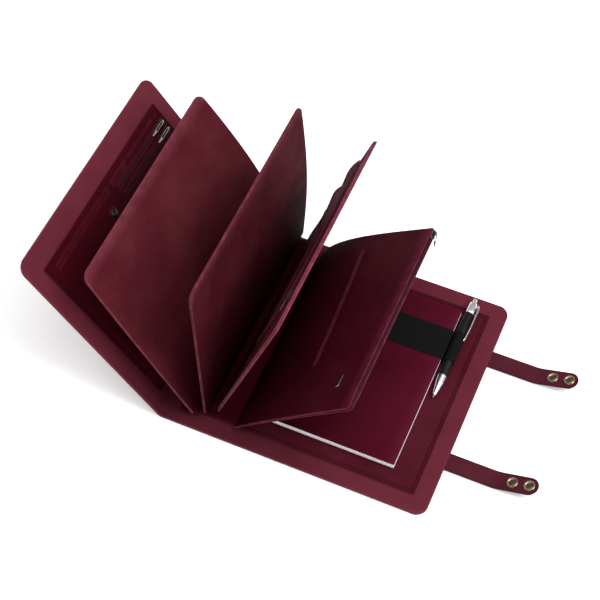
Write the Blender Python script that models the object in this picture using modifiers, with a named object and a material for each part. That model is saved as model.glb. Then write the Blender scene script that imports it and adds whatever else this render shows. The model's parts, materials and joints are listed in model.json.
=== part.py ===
"""An open leather portfolio case: two stiff covers on a flexible spine, four inner leaves with zip
pockets, a notebook and pen held by an elastic band, and two press-stud straps.

Units are metres and +Z is up. The case lies open with its back cover flat on the ground plane.
+X runs from the spine to the free edge of the back cover and +Y runs along the spine. The origin is
the centre of the back cover's underside. Every leaf, cover and strap is built flat in a frame of its
own, whose X axis runs away from its hinge, and the empty that carries it stands on its joint axis.
"""

import math

import bmesh
import bpy
from mathutils import Vector

# Driving dimensions
COVER_WIDTH = 0.240
COVER_HEIGHT = 0.280
SPINE_WIDTH = 0.063
CORNER_RADIUS = 0.013
FIT_GAP = 0.0003
HINGE_GAP = 0.0005

# Layers of a cover, measured from its inner face outwards
LINING_THICKNESS = 0.0010
BOARD_THICKNESS = 0.0012
SKIN_THICKNESS = 0.0012
COVER_THICKNESS = LINING_THICKNESS + BOARD_THICKNESS + SKIN_THICKNESS + 2 * FIT_GAP
BOARD_INSET = 0.006

# The origin sits under the middle of the back cover, so the back hinge is half a cover to its left
BACK_HINGE_X = -COVER_WIDTH / 2
FRONT_COVER_ANGLE = math.radians(124.9)
FOLD_STRIP_LENGTH = 0.006

# Pocket panels and their zips
PANEL_MARGIN_SIDE = 0.018
PANEL_MARGIN_END = 0.019
PANEL_THICKNESS = 0.0010
PANEL_ROOT_GAP = 0.010
PANEL_RADIUS = 0.002
TAPE_THICKNESS = 0.0004
TAPE_WIDTH = 0.0096
COIL_WIDTH = 0.0036
COIL_HEIGHT = 0.0010
ZIP_SLOT_WIDTH = 0.0060
SLIDER_SIZE = (0.0085, 0.0110, 0.0014)
PULL_LENGTH = 0.0245
PULL_WIDTH = 0.0056
PULL_THICKNESS = 0.0010
PULL_EYE_OFFSET = 0.0035
FRONT_PANEL_REACH = 0.216
FRONT_ZIPS = {"inner": 0.1848, "outer": 0.1954}
FRONT_ZIP_LENGTH = 0.104
FRONT_ZIP_MIDDLE = 0.064
FRONT_SLIDER_Y = 0.110
SNAP_PLACE = (0.184, -0.013)
SNAP_RADIUS = 0.0046

# Leaves
LEAF_ROOT_HEIGHT = 0.0055
STRIP_THICKNESS = 0.0010
STRIP_CLEARANCE = 0.0004
STRIP_END_INSET = 0.004
LEAF_START = 0.0013


def leaf(root, foot, axis, angle, size, middle):
    """A leaf's place. Its strip is sewn to the spine at root and meets the leaf at foot.

    Closing turns the leaf about axis, which carries its foot along with the strip. The foot and
    the axis are (x from the back hinge, z). The size is (width, height).
    """
    place = {"root": root, "foot": foot, "axis": axis, "angle": angle}
    return {**place, "width": size[0], "height": size[1], "middle": middle}


LEAVES = {
    "leaf_1": leaf(0.036, (-0.0260, 0.009), (0.0026, 0.0138), 118.4, (0.227, 0.262), 0.002),
    "leaf_2": leaf(0.029, (-0.0167, 0.009), (0.0127, 0.0088), 90.5, (0.226, 0.263), 0.0075),
    "leaf_3": leaf(0.020, (-0.0067, 0.009), (0.0185, 0.0051), 70.5, (0.225, 0.254), 0.011),
    "leaf_4": leaf(0.010, (0.0190, 0.008), (0.0422, 0.0035), 45.5, (0.184, 0.238), -0.0055),
}
LEAF_SKIN = 0.0010
LEAF_CORNER = 0.010
LEAF_3_CORE = 0.0015
LEAF_3_CORE_TOP = 0.0003
LEAF_3_CORNER = 0.006
LEAF_3_PANEL_CORNER = 0.005
LEAF_3_INSET = 0.001
LEAF_3_ZIPS = {"lower": (0.100, 0.112), "upper": (0.200, -0.062)}
LEAF_3_ZIP_LENGTH = 0.224
POUCH_SKIN = 0.0012
POUCH_ROOT_GAP = 0.0020
POUCH_EDGE_GAP = 0.0046
GUSSET_WIDTH = 0.008
GUSSET_THICKNESS = 0.0014
POUCH_TAPE_INSET = 0.002
POUCH_SLIDER_Y = 0.104
POUCH_SLIDER_DEPTH = 0.0016
POUCH_SLIDER_HALF = 0.0030
POUCH_COIL_HALF = 0.0011
POUCH_COIL_PROUD = 0.0004
POUCH_PULL_LEAN = math.radians(20.0)

# Notebook, its band, and the pen
NOTEBOOK_LOW = (0.042, -0.1015)
NOTEBOOK_SIZE = (0.1497, 0.210)
NOTEBOOK_COVER = 0.0008
PAGES_THICKNESS = 0.0068
BAND_CENTRE_Y = 0.060
BAND_WIDTH = 0.040
BAND_THICKNESS = 0.0008
PEN_X = 0.2003
PEN_TOP_Y = 0.1306
BARREL_RADIUS = 0.0055
BARREL_BORE = 0.0030
PEN_SEGMENTS = 20
CLIP_LEAN = math.radians(20.0)

# Straps and their press studs
STRAP_Y = 0.069
STRAP_WIDTH = 0.021
STRAP_THICKNESS = 0.0022
STRAP_AXIS_GAP = 0.0025
STRAP_AXIS_Z = 0.0020
STRAP_BEND_GAP = 0.00115
STRAP_LOWER_LENGTH = 0.052
STRAP_UPPER_LENGTH = 0.047
STRAP_TIP_ANGLE = math.radians(20.0)
SOCKET_REACH = {"inner": 0.018, "outer": 0.037}
SOCKET_RADIUS = 0.0062
SOCKET_NECK = 0.0034
SOCKET_BORE = 0.0023
SOCKET_HOLE = SOCKET_NECK + FIT_GAP
STUD_REACH = 0.2070
STUD_RADIUS = 0.0055
STUD_POST = 0.0015
FASTENER_SEGMENTS = 20


def clear_scene():
    for obj in list(bpy.data.objects):
        bpy.data.objects.remove(obj, do_unlink=True)


def make_collection(name):
    collection = bpy.data.collections.new(name)
    bpy.context.scene.collection.children.link(collection)
    return collection


def make_material(name, colour, metallic, roughness):
    material = bpy.data.materials.new(name)
    material.use_nodes = True
    shader = material.node_tree.nodes["Principled BSDF"]
    shader.inputs["Base Color"].default_value = (*colour, 1.0)
    shader.inputs["Metallic"].default_value = metallic
    shader.inputs["Roughness"].default_value = roughness
    material.diffuse_color = (*colour, 1.0)
    return material


clear_scene()
PARTS = make_collection("portfolio_case")

LEATHER = make_material("burgundy_leather", (0.105, 0.018, 0.032), 0.0, 0.55)
LEATHER_DARK = make_material("dark_leather", (0.060, 0.012, 0.022), 0.0, 0.55)
BOARD = make_material("stiffener_board", (0.30, 0.24, 0.18), 0.0, 0.90)
NOTEBOOK_SKIN = make_material("notebook_cover", (0.120, 0.016, 0.034), 0.0, 0.45)
PAPER = make_material("paper", (0.85, 0.84, 0.80), 0.0, 0.85)
ELASTIC = make_material("black_elastic", (0.012, 0.012, 0.013), 0.0, 0.80)
ZIP_TAPE = make_material("zip_tape", (0.050, 0.010, 0.018), 0.0, 0.75)
NICKEL = make_material("nickel", (0.60, 0.58, 0.56), 1.0, 0.28)
GUNMETAL = make_material("gunmetal", (0.22, 0.21, 0.20), 1.0, 0.35)
BRASS = make_material("antique_brass", (0.42, 0.30, 0.14), 1.0, 0.35)
CHROME = make_material("chrome", (0.78, 0.78, 0.80), 1.0, 0.12)
BLACK_GRIP = make_material("black_grip", (0.014, 0.014, 0.016), 0.0, 0.42)
REFILL = make_material("refill", (0.55, 0.45, 0.25), 0.6, 0.40)


def pivot(name, location, turn_y=0.0, turn_x=0.0, turn_z=0.0, parent=None):
    """An empty on a joint's axis. Positive turn_y tips the +X axis downwards."""
    empty = bpy.data.objects.new(name, None)
    empty.location = location
    empty.rotation_euler = (turn_x, turn_y, turn_z)
    empty.empty_display_size = 0.01
    empty.parent = parent
    PARTS.objects.link(empty)
    return empty


def adopt(obj, parent, material):
    obj.parent = parent
    obj.data.materials.append(material)
    PARTS.objects.link(obj)
    return obj


def box(name, low, high, material, parent=None):
    """A block between two opposite corners."""
    low = Vector(low)
    high = Vector(high)
    shape = bmesh.new()
    bmesh.ops.create_cube(shape, size=1.0)
    bmesh.ops.scale(shape, vec=high - low, verts=shape.verts)
    bmesh.ops.translate(shape, vec=(low + high) / 2, verts=shape.verts)
    mesh = bpy.data.meshes.new(name)
    shape.to_mesh(mesh)
    shape.free()
    return adopt(bpy.data.objects.new(name, mesh), parent, material)


def arc(centre, radius, start_degrees, end_degrees, steps):
    points = []
    for step in range(steps + 1):
        angle = math.radians(start_degrees + (end_degrees - start_degrees) * step / steps)
        points.append((centre[0] + radius * math.cos(angle), centre[1] + radius * math.sin(angle)))
    return points


def panel_outline(x0, x1, y0, y1, radius=0.0, steps=6):
    """A rectangle whose two corners at x1 are rounded."""
    if radius <= 0.0:
        return [(x0, y0), (x1, y0), (x1, y1), (x0, y1)]
    points = [(x0, y0)]
    points += arc((x1 - radius, y0 + radius), radius, -90, 0, steps)
    points += arc((x1 - radius, y1 - radius), radius, 0, 90, steps)
    points.append((x0, y1))
    return points


def flat_curve(name, outlines, thickness):
    """A filled 2D curve. The outlines after the first are holes."""
    curve = bpy.data.curves.new(name, "CURVE")
    curve.dimensions = "2D"
    curve.fill_mode = "BOTH"
    curve.extrude = thickness / 2
    for outline in outlines:
        spline = curve.splines.new("POLY")
        spline.points.add(len(outline) - 1)
        for point, (x, y) in zip(spline.points, outline):
            point.co = (x, y, 0.0, 1.0)
        spline.use_cyclic_u = True
    return curve


def plate(name, outline, z0, z1, material, parent=None, holes=()):
    """A flat sheet in the XY plane of its parent, from z0 to z1."""
    curve = flat_curve(name, [outline, *holes], z1 - z0)
    obj = adopt(bpy.data.objects.new(name, curve), parent, material)
    obj.location.z = (z0 + z1) / 2
    return obj


def extrusion(name, section, y0, y1, material, parent=None):
    """A section in the XZ plane of its parent, drawn out along Y from y0 to y1."""
    curve = flat_curve(name, [section], y1 - y0)
    obj = adopt(bpy.data.objects.new(name, curve), parent, material)
    obj.rotation_euler.x = math.pi / 2
    obj.location.y = (y0 + y1) / 2
    return obj


def turned(name, profile, segments, material, parent=None, turn_x=0.0):
    """A closed (radius, height) profile turned about the Z axis, outer side listed top to bottom."""
    mesh = bpy.data.meshes.new(name)
    points = [(radius, 0.0, height) for radius, height in profile]
    edges = [(i, (i + 1) % len(points)) for i in range(len(points))]
    mesh.from_pydata(points, edges, [])
    obj = adopt(bpy.data.objects.new(name, mesh), parent, material)
    obj.rotation_euler.x = turn_x
    screw = obj.modifiers.new("turn", "SCREW")
    screw.angle = 2 * math.pi
    screw.steps = segments
    screw.render_steps = segments
    screw.use_merge_vertices = True
    screw.merge_threshold = 0.00001
    screw.use_smooth_shade = True
    return obj


def circle(centre_x, centre_y, radius, steps=16):
    return arc((centre_x, centre_y), radius, 0, 360 - 360 / steps, steps - 1)


def make_cover_layers(name, outward, parent, x0, x1):
    """Lining, stiffener and outer skin of one cover. outward is the sign of the outer side along Z."""
    half = COVER_HEIGHT / 2

    def layer(label, inset, start, thickness, radius, material):
        outline = panel_outline(x0 + inset, x1 - inset, -half + inset, half - inset, radius)
        low, high = sorted((outward * start, outward * (start + thickness)))
        plate(f"{name}_{label}", outline, low, high, material, parent)

    board_start = LINING_THICKNESS + FIT_GAP
    skin_start = board_start + BOARD_THICKNESS + FIT_GAP
    layer("lining", 0.0, 0.0, LINING_THICKNESS, CORNER_RADIUS, LEATHER)
    board_radius = CORNER_RADIUS - BOARD_INSET
    layer("board", BOARD_INSET, board_start, BOARD_THICKNESS, board_radius, BOARD)
    layer("leather", 0.0, skin_start, SKIN_THICKNESS, CORNER_RADIUS, LEATHER)


def zip_section(zip_x, base, upward):
    """Tape with its coil on top: the coil stands in the panel's slot. upward is +1 or -1 along Z."""
    tape_top = base + upward * TAPE_THICKNESS
    coil_top = tape_top + upward * COIL_HEIGHT
    tape = TAPE_WIDTH / 2
    coil = COIL_WIDTH / 2
    return [
        (zip_x - tape, base),
        (zip_x + tape, base),
        (zip_x + tape, tape_top),
        (zip_x + coil, tape_top),
        (zip_x + coil, coil_top),
        (zip_x - coil, coil_top),
        (zip_x - coil, tape_top),
        (zip_x - tape, tape_top),
    ]


def zip_slot(zip_x, length, middle):
    half = ZIP_SLOT_WIDTH / 2
    reach = length / 2 + FIT_GAP
    return [
        (zip_x - half, middle - reach),
        (zip_x - half, middle + reach),
        (zip_x + half, middle + reach),
        (zip_x + half, middle - reach),
    ]


def pull_outline(length, width):
    """A slim loop: a narrow end that clears the slider as it turns, a long slot, a rounded tip."""
    half = width / 2
    neck = half * 0.6
    end = PULL_THICKNESS / 2
    eye = [(half, -half), (neck, end), (-neck, end), (-half, -half)]
    tip = arc((0.0, -length + half), half * 0.62, 180, 360, 6)
    slot_half = half * 0.52
    slot = [
        (-slot_half, -length * 0.60),
        (-slot_half, -half),
        (slot_half, -half),
        (slot_half, -length * 0.60),
    ]
    return eye + tip, slot


def make_pull(name, pivot_name, location, material, parent, turn_y=0.0, turn_z=0.0):
    """A zip pull whose empty stands on its hinge axis. Unturned, it lies along -Y of its parent."""
    hinge = pivot(pivot_name, location, turn_y=turn_y, turn_z=turn_z, parent=parent)
    outline, slot = pull_outline(PULL_LENGTH, PULL_WIDTH)
    thin = PULL_THICKNESS / 2
    plate(name, outline, -thin, thin, material, hinge, holes=[slot])


def make_zip(prefix, frame, zip_x, base, upward, slider_y, metal, length, middle):
    """Tape and coil, a slider over the coil and the pull that lies on the slider."""
    half = length / 2 - FIT_GAP
    section = zip_section(zip_x, base, upward)
    extrusion(f"{prefix}_zip_tape", section, middle - half, middle + half, ZIP_TAPE, frame)
    slider_width, slider_length, thickness = SLIDER_SIZE
    panel_top = base + upward * (TAPE_THICKNESS + FIT_GAP + PANEL_THICKNESS)
    slider_base = panel_top + upward * FIT_GAP
    slider_top = slider_base + upward * thickness
    across = slider_width / 2
    along = slider_length / 2
    low = (zip_x - across, slider_y - along, min(slider_base, slider_top))
    high = (zip_x + across, slider_y + along, max(slider_base, slider_top))
    box(f"{prefix}_zip_slider", low, high, metal, frame)
    pull_z = slider_top + upward * (FIT_GAP + PULL_THICKNESS / 2)
    pull_at = (zip_x, slider_y + PULL_EYE_OFFSET, pull_z)
    make_pull(f"{prefix}_zip_pull", f"{prefix}_pull_axis", pull_at, metal, frame)


def make_back_cover():
    """The cover that lies on the ground: its inner face looks up."""
    frame = pivot("back_cover_frame", (BACK_HINGE_X, 0.0, COVER_THICKNESS))
    make_cover_layers("back_cover", -1, frame, HINGE_GAP, COVER_WIDTH)
    reach = COVER_HEIGHT / 2 - PANEL_MARGIN_END
    edge = COVER_WIDTH - PANEL_MARGIN_SIDE
    outline = panel_outline(PANEL_ROOT_GAP, edge, -reach, reach, PANEL_RADIUS, 2)
    plate("back_panel", outline, FIT_GAP, FIT_GAP + PANEL_THICKNESS, LEATHER_DARK, frame)
    return frame


def make_notebook(frame):
    """A5 notebook: a wrap cover around one block of pages, lying on the back panel."""
    x0, y0 = NOTEBOOK_LOW
    x1 = x0 + NOTEBOOK_SIZE[0]
    y1 = y0 + NOTEBOOK_SIZE[1]
    base = 2 * FIT_GAP + PANEL_THICKNESS
    cover = NOTEBOOK_COVER
    top = base + 2 * cover + 2 * FIT_GAP + PAGES_THICKNESS
    section = [
        (x0, base),
        (x1, base),
        (x1, base + cover),
        (x0 + cover, base + cover),
        (x0 + cover, top - cover),
        (x1, top - cover),
        (x1, top),
        (x0, top),
    ]
    extrusion("notebook_cover", section, y0, y1, NOTEBOOK_SKIN, frame)
    low = (x0 + cover + FIT_GAP, y0 + 0.0012, base + cover + FIT_GAP)
    high = (x1 - 0.0012, y1 - 0.0012, top - cover - FIT_GAP)
    box("notebook_pages", low, high, PAPER, frame)
    return x0, x1, base, top


def make_band(frame, notebook):
    """The elastic that crosses the notebook, and the loop at its end that holds the pen."""
    x0, x1, base, top = notebook
    y0 = BAND_CENTRE_Y - BAND_WIDTH / 2
    y1 = BAND_CENTRE_Y + BAND_WIDTH / 2
    inner0 = x0 - FIT_GAP
    inner1 = x1 + FIT_GAP
    outer0 = inner0 - BAND_THICKNESS
    outer1 = inner1 + BAND_THICKNESS
    section = [
        (outer0, base),
        (inner0, base),
        (inner0, top + FIT_GAP),
        (inner1, top + FIT_GAP),
        (inner1, base),
        (outer1, base),
        (outer1, top + FIT_GAP + BAND_THICKNESS),
        (outer0, top + FIT_GAP + BAND_THICKNESS),
    ]
    extrusion("notebook_band", section, y0, y1, ELASTIC, frame)
    inner = BARREL_RADIUS + FIT_GAP
    outer = inner + BAND_THICKNESS
    centre_z = base + outer
    ring = circle(PEN_X, centre_z, outer, 24)
    bore = circle(PEN_X, centre_z, inner, 24)
    curve = flat_curve("pen_loop", [ring, bore], BAND_WIDTH)
    loop = adopt(bpy.data.objects.new("pen_loop", curve), frame, ELASTIC)
    loop.rotation_euler.x = math.pi / 2
    loop.location.y = BAND_CENTRE_Y
    return centre_z


def make_pen(frame, centre_z):
    """A push-button ball pen along Y. Its own Z axis runs from the tip to the button."""
    axis = pivot("pen_frame", (PEN_X, PEN_TOP_Y, centre_z), turn_x=-math.pi / 2, parent=frame)
    collar, grip_end, tip_end = -0.0215, -0.1090, -0.1345
    barrel = [
        (0.0038, -0.0060),
        (0.0050, -0.0100),
        (BARREL_RADIUS, collar),
        (BARREL_RADIUS, -0.0800),
        (0.0050, grip_end),
        (BARREL_BORE, grip_end),
        (BARREL_BORE, -0.0180),
        (0.0025, -0.0060),
    ]
    turned("pen_barrel", barrel, PEN_SEGMENTS, BLACK_GRIP, axis)
    cone_top = grip_end - FIT_GAP
    cone = [
        (0.0049, cone_top),
        (0.0043, -0.1180),
        (0.0019, tip_end),
        (0.0014, tip_end),
        (0.0014, -0.1250),
        (BARREL_BORE, cone_top),
    ]
    turned("pen_tip_cone", cone, PEN_SEGMENTS, CHROME, axis)
    button = [
        (0.0, 0.0),
        (0.0018, 0.0),
        (0.0023, -0.0008),
        (0.0022, -0.0160),
        (0.0, -0.0160),
    ]
    turned("pen_button", button, 12, CHROME, axis)
    refill = [
        (0.0, -0.0163),
        (0.0016, -0.0163),
        (0.0016, -0.1180),
        (0.0010, -0.1195),
        (0.0008, -0.1375),
        (0.0, -0.1380),
    ]
    turned("pen_refill", refill, 12, REFILL, axis)
    clip_frame = pivot("clip_frame", (0.0, 0.0, 0.0), turn_z=-CLIP_LEAN, parent=axis)
    clip = [
        (0.0052, -0.0100),
        (0.0075, -0.0085),
        (0.0090, -0.0125),
        (0.0090, -0.0400),
        (0.0078, -0.0600),
        (0.0070, -0.0600),
        (0.0078, -0.0400),
        (0.0078, -0.0135),
        (0.0070, -0.0108),
        (0.0057, -0.0118),
    ]
    section = flat_curve("pen_clip", [clip], 0.0032)
    obj = adopt(bpy.data.objects.new("pen_clip", section), clip_frame, CHROME)
    obj.rotation_euler.x = math.pi / 2


def make_spine():
    """The spine lies flat at rest, between the two hinge axes."""
    frame = pivot("spine_axis", (BACK_HINGE_X, 0.0, COVER_THICKNESS))
    half = COVER_HEIGHT / 2
    x0 = -SPINE_WIDTH + HINGE_GAP
    x1 = -HINGE_GAP
    board_start = LINING_THICKNESS + FIT_GAP
    skin_start = board_start + BOARD_THICKNESS + FIT_GAP
    lining_low = (x0, -half, -LINING_THICKNESS)
    box("spine_lining", lining_low, (x1, half, 0.0), LEATHER_DARK, frame)
    board_low = (x0 + BOARD_INSET, -half + BOARD_INSET, -board_start - BOARD_THICKNESS)
    board_high = (x1 - BOARD_INSET, half - BOARD_INSET, -board_start)
    box("spine_board", board_low, board_high, BOARD, frame)
    skin_low = (x0, -half, -skin_start - SKIN_THICKNESS)
    box("spine_leather", skin_low, (x1, half, -skin_start), LEATHER, frame)
    return frame


def make_panel_snap(frame, base):
    """The press stud that holds the front panel's pocket mouth shut. It stands along -Z."""
    profile = [
        (0.0, base),
        (SNAP_RADIUS - 0.0006, base),
        (SNAP_RADIUS, base - 0.0003),
        (SNAP_RADIUS, base - 0.0009),
        (SNAP_RADIUS - 0.0006, base - 0.0013),
        (0.0016, base - 0.0013),
        (0.0016, base - 0.0007),
        (0.0, base - 0.0007),
    ]
    snap = turned("front_panel_snap", profile, FASTENER_SEGMENTS, GUNMETAL, frame)
    snap.location.x = SNAP_PLACE[0] - FOLD_STRIP_LENGTH
    snap.location.y = SNAP_PLACE[1]


def make_front_cover(spine):
    """The raised cover. Its inner face looks towards the leaves, along its own -Z axis."""
    root_at = (-SPINE_WIDTH, 0.0, 0.0)
    root = pivot("front_fold_axis", root_at, turn_y=-FRONT_COVER_ANGLE, parent=spine)
    half = COVER_HEIGHT / 2
    strip = FOLD_STRIP_LENGTH
    strip_low = (HINGE_GAP, -half, 0.0)
    strip_high = (strip - HINGE_GAP, half, COVER_THICKNESS)
    box("front_fold_strip", strip_low, strip_high, LEATHER, root)
    frame = pivot("front_cover_axis", (strip, 0.0, 0.0), parent=root)
    make_cover_layers("front_cover", 1, frame, HINGE_GAP, COVER_WIDTH - strip)
    reach = half - PANEL_MARGIN_END
    base = -FIT_GAP
    panel_base = base - TAPE_THICKNESS - FIT_GAP
    panel_face = panel_base - PANEL_THICKNESS
    edge = FRONT_PANEL_REACH - strip
    outline = panel_outline(PANEL_ROOT_GAP, edge, -reach, reach, PANEL_RADIUS, 2)
    length = FRONT_ZIP_LENGTH
    middle = FRONT_ZIP_MIDDLE
    slots = [zip_slot(zip_x - strip, length, middle) for zip_x in FRONT_ZIPS.values()]
    plate("front_panel", outline, panel_face, panel_base, LEATHER_DARK, frame, holes=slots)
    for label, zip_x in FRONT_ZIPS.items():
        place = (zip_x - strip, base, -1, FRONT_SLIDER_Y)
        make_zip(f"front_{label}", frame, *place, NICKEL, length, middle)
    make_panel_snap(frame, panel_face - FIT_GAP)
    return frame


def make_leaf_strip(name, spec, spine, back):
    """The thin leather strip from the spine to a leaf's foot. Returns the leaf's frame there."""
    root = Vector((-spec["root"], 0.0, LEAF_ROOT_HEIGHT - COVER_THICKNESS))
    end = Vector((spec["foot"][0], 0.0, spec["foot"][1] - COVER_THICKNESS))
    reach = end - root
    angle = math.atan2(reach.z, reach.x)
    axis = pivot(f"{name}_strip_axis", root, turn_y=-angle, parent=spine)
    half = spec["height"] / 2 - STRIP_END_INSET
    thickness = STRIP_THICKNESS / 2
    low = (STRIP_CLEARANCE, spec["middle"] - half, -thickness)
    high = (reach.length - STRIP_CLEARANCE, spec["middle"] + half, thickness)
    box(f"{name}_strip", low, high, LEATHER_DARK, axis)
    turn_at = Vector((spec["axis"][0], 0.0, spec["axis"][1] - COVER_THICKNESS))
    hinge = pivot(f"{name}_axis", turn_at, parent=back)
    lean = -math.radians(spec["angle"])
    return pivot(f"{name}_frame", end - turn_at, turn_y=lean, parent=hinge)


def leaf_outline(spec, radius):
    low = spec["middle"] - spec["height"] / 2
    high = spec["middle"] + spec["height"] / 2
    return panel_outline(LEAF_START, spec["width"], low, high, radius)


def make_plain_leaf(name, spec, spine, back):
    """Two skins sewn back to back."""
    frame = make_leaf_strip(name, spec, spine, back)
    outline = leaf_outline(spec, LEAF_CORNER)
    gap = FIT_GAP / 2
    plate(f"{name}_face", outline, gap, gap + LEAF_SKIN, LEATHER, frame)
    plate(f"{name}_back", outline, -gap - LEAF_SKIN, -gap, LEATHER, frame)


def make_zip_leaf(spine, back):
    """The third leaf: a stiff core with one pocket panel and two zips on its left face."""
    spec = LEAVES["leaf_3"]
    frame = make_leaf_strip("leaf_3", spec, spine, back)
    core_top = LEAF_3_CORE_TOP
    core = leaf_outline(spec, LEAF_3_CORNER)
    plate("leaf_3_core", core, core_top - LEAF_3_CORE, core_top, LEATHER, frame)
    base = core_top + FIT_GAP
    panel_base = base + TAPE_THICKNESS + FIT_GAP
    panel_face = panel_base + PANEL_THICKNESS
    middle = spec["middle"]
    reach = spec["height"] / 2 - LEAF_3_INSET
    edge = spec["width"] - LEAF_3_INSET
    low, high = middle - reach, middle + reach
    outline = panel_outline(PANEL_ROOT_GAP, edge, low, high, LEAF_3_PANEL_CORNER)
    length = LEAF_3_ZIP_LENGTH
    slots = [zip_slot(zip_x, length, middle) for zip_x, _ in LEAF_3_ZIPS.values()]
    plate("leaf_3_panel", outline, panel_base, panel_face, LEATHER, frame, holes=slots)
    for label, (zip_x, slider_y) in LEAF_3_ZIPS.items():
        place = (zip_x, base, 1, slider_y)
        make_zip(f"leaf_3_{label}", frame, *place, GUNMETAL, length, middle)


def make_pouch_leaf(spine, back):
    """The fourth leaf: a wedge pouch that opens along its outer edge."""
    spec = LEAVES["leaf_4"]
    frame = make_leaf_strip("leaf_4", spec, spine, back)
    y0 = spec["middle"] - spec["height"] / 2
    y1 = spec["middle"] + spec["height"] / 2
    width = spec["width"]
    root_gap = POUCH_ROOT_GAP / 2
    edge_gap = POUCH_EDGE_GAP / 2
    start = 0.004
    for label, side in (("face", 1), ("back", -1)):
        section = [
            (start, side * root_gap),
            (width, side * edge_gap),
            (width, side * (edge_gap + POUCH_SKIN)),
            (start, side * (root_gap + POUCH_SKIN)),
        ]
        extrusion(f"leaf_4_{label}", section, y0, y1, LEATHER, frame)
    rim = GUSSET_WIDTH
    outer = width - rim - FIT_GAP
    gusset = [
        (LEAF_START, y0),
        (outer, y0),
        (outer, y0 + rim),
        (rim, y0 + rim),
        (rim, y1 - rim),
        (outer, y1 - rim),
        (outer, y1),
        (LEAF_START, y1),
    ]
    thin = GUSSET_THICKNESS / 2
    plate("leaf_4_gusset", gusset, -thin, thin, LEATHER_DARK, frame)
    tape = edge_gap - FIT_GAP - 0.0002
    tape_edge = width - 0.0010
    coil = POUCH_COIL_HALF
    coil_edge = width + POUCH_COIL_PROUD
    section = [
        (width - rim, -tape),
        (tape_edge, -tape),
        (tape_edge, -coil),
        (coil_edge, -coil),
        (coil_edge, coil),
        (tape_edge, coil),
        (tape_edge, tape),
        (width - rim, tape),
    ]
    inset = POUCH_TAPE_INSET
    extrusion("leaf_4_zip_tape", section, y0 + inset, y1 - inset, ZIP_TAPE, frame)
    slider_x = coil_edge + FIT_GAP
    slider_end = slider_x + POUCH_SLIDER_DEPTH
    along = SLIDER_SIZE[1] / 2
    low = (slider_x, POUCH_SLIDER_Y - along, -POUCH_SLIDER_HALF)
    high = (slider_end, POUCH_SLIDER_Y + along, POUCH_SLIDER_HALF)
    box("leaf_4_zip_slider", low, high, GUNMETAL, frame)
    eye_x = slider_end + FIT_GAP + PULL_THICKNESS
    hinge_at = (eye_x, POUCH_SLIDER_Y + PULL_EYE_OFFSET, 0.0)
    turns = {"turn_y": math.pi / 2, "turn_z": POUCH_PULL_LEAN}
    make_pull("leaf_4_zip_pull", "leaf_4_pull_axis", hinge_at, GUNMETAL, frame, **turns)


def make_strap(label, y, frame):
    """A strap in two lengths, hinged at the cover's edge and at the bend that wraps the fore edge."""
    mid = STRAP_AXIS_Z - COVER_THICKNESS
    root = pivot(f"{label}_strap_axis", (COVER_WIDTH + STRAP_AXIS_GAP, y, mid), parent=frame)
    half = STRAP_WIDTH / 2
    thin = STRAP_THICKNESS / 2
    low = (HINGE_GAP, -half, -thin)
    high = (STRAP_LOWER_LENGTH - STRAP_BEND_GAP, half, thin)
    box(f"{label}_strap_lower", low, high, LEATHER_DARK, root)
    bend = pivot(
        f"{label}_bend_axis",
        (STRAP_LOWER_LENGTH, 0.0, 0.0),
        turn_y=-STRAP_TIP_ANGLE,
        parent=root,
    )
    tip = [(STRAP_BEND_GAP, -half)]
    tip += arc((STRAP_UPPER_LENGTH - half, 0.0), half, -90, 90, 12)
    tip.append((STRAP_BEND_GAP, half))
    holes = [circle(reach, 0.0, SOCKET_HOLE) for reach in SOCKET_REACH.values()]
    plate(f"{label}_strap_upper", tip, -thin, thin, LEATHER_DARK, bend, holes=holes)
    flange = thin + FIT_GAP
    for which, reach in SOCKET_REACH.items():
        profile = [
            (SOCKET_BORE, flange + 0.0006),
            (SOCKET_RADIUS - 0.0010, flange + 0.0009),
            (SOCKET_RADIUS, flange + 0.0004),
            (SOCKET_RADIUS, flange),
            (SOCKET_NECK, flange),
            (SOCKET_NECK, -flange),
            (SOCKET_RADIUS - 0.0006, -flange),
            (SOCKET_RADIUS - 0.0006, -flange - 0.0007),
            (SOCKET_BORE, -flange - 0.0007),
        ]
        socket = turned(f"{label}_socket_{which}", profile, FASTENER_SEGMENTS, BRASS, bend)
        socket.location.x = reach


def make_stud(label, y, frame):
    """The ball stud on the outside of the front cover, where the strap's outer socket lands."""
    base = COVER_THICKNESS + FIT_GAP
    profile = [
        (0.0, base + 0.0031),
        (0.0015, base + 0.0031),
        (0.0019, base + 0.0026),
        (0.0019, base + 0.0020),
        (STUD_POST, base + 0.0014),
        (STUD_POST, base + 0.0008),
        (STUD_RADIUS - 0.0006, base + 0.0008),
        (STUD_RADIUS, base + 0.0003),
        (STUD_RADIUS, base),
        (0.0, base),
    ]
    stud = turned(f"{label}_stud", profile, FASTENER_SEGMENTS, BRASS, frame)
    stud.location = (STUD_REACH - FOLD_STRIP_LENGTH, y, 0.0)


def build():
    back = make_back_cover()
    notebook = make_notebook(back)
    pen_z = make_band(back, notebook)
    make_pen(back, pen_z)
    spine = make_spine()
    front = make_front_cover(spine)
    make_plain_leaf("leaf_1", LEAVES["leaf_1"], spine, back)
    make_plain_leaf("leaf_2", LEAVES["leaf_2"], spine, back)
    make_zip_leaf(spine, back)
    make_pouch_leaf(spine, back)
    for label, y in (("far", STRAP_Y), ("near", -STRAP_Y)):
        make_strap(label, y, back)
        make_stud(label, y, front)


build()
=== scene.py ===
import json
import math

import bmesh
import bpy
import numpy as np
from mathutils import Matrix, Vector


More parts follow.
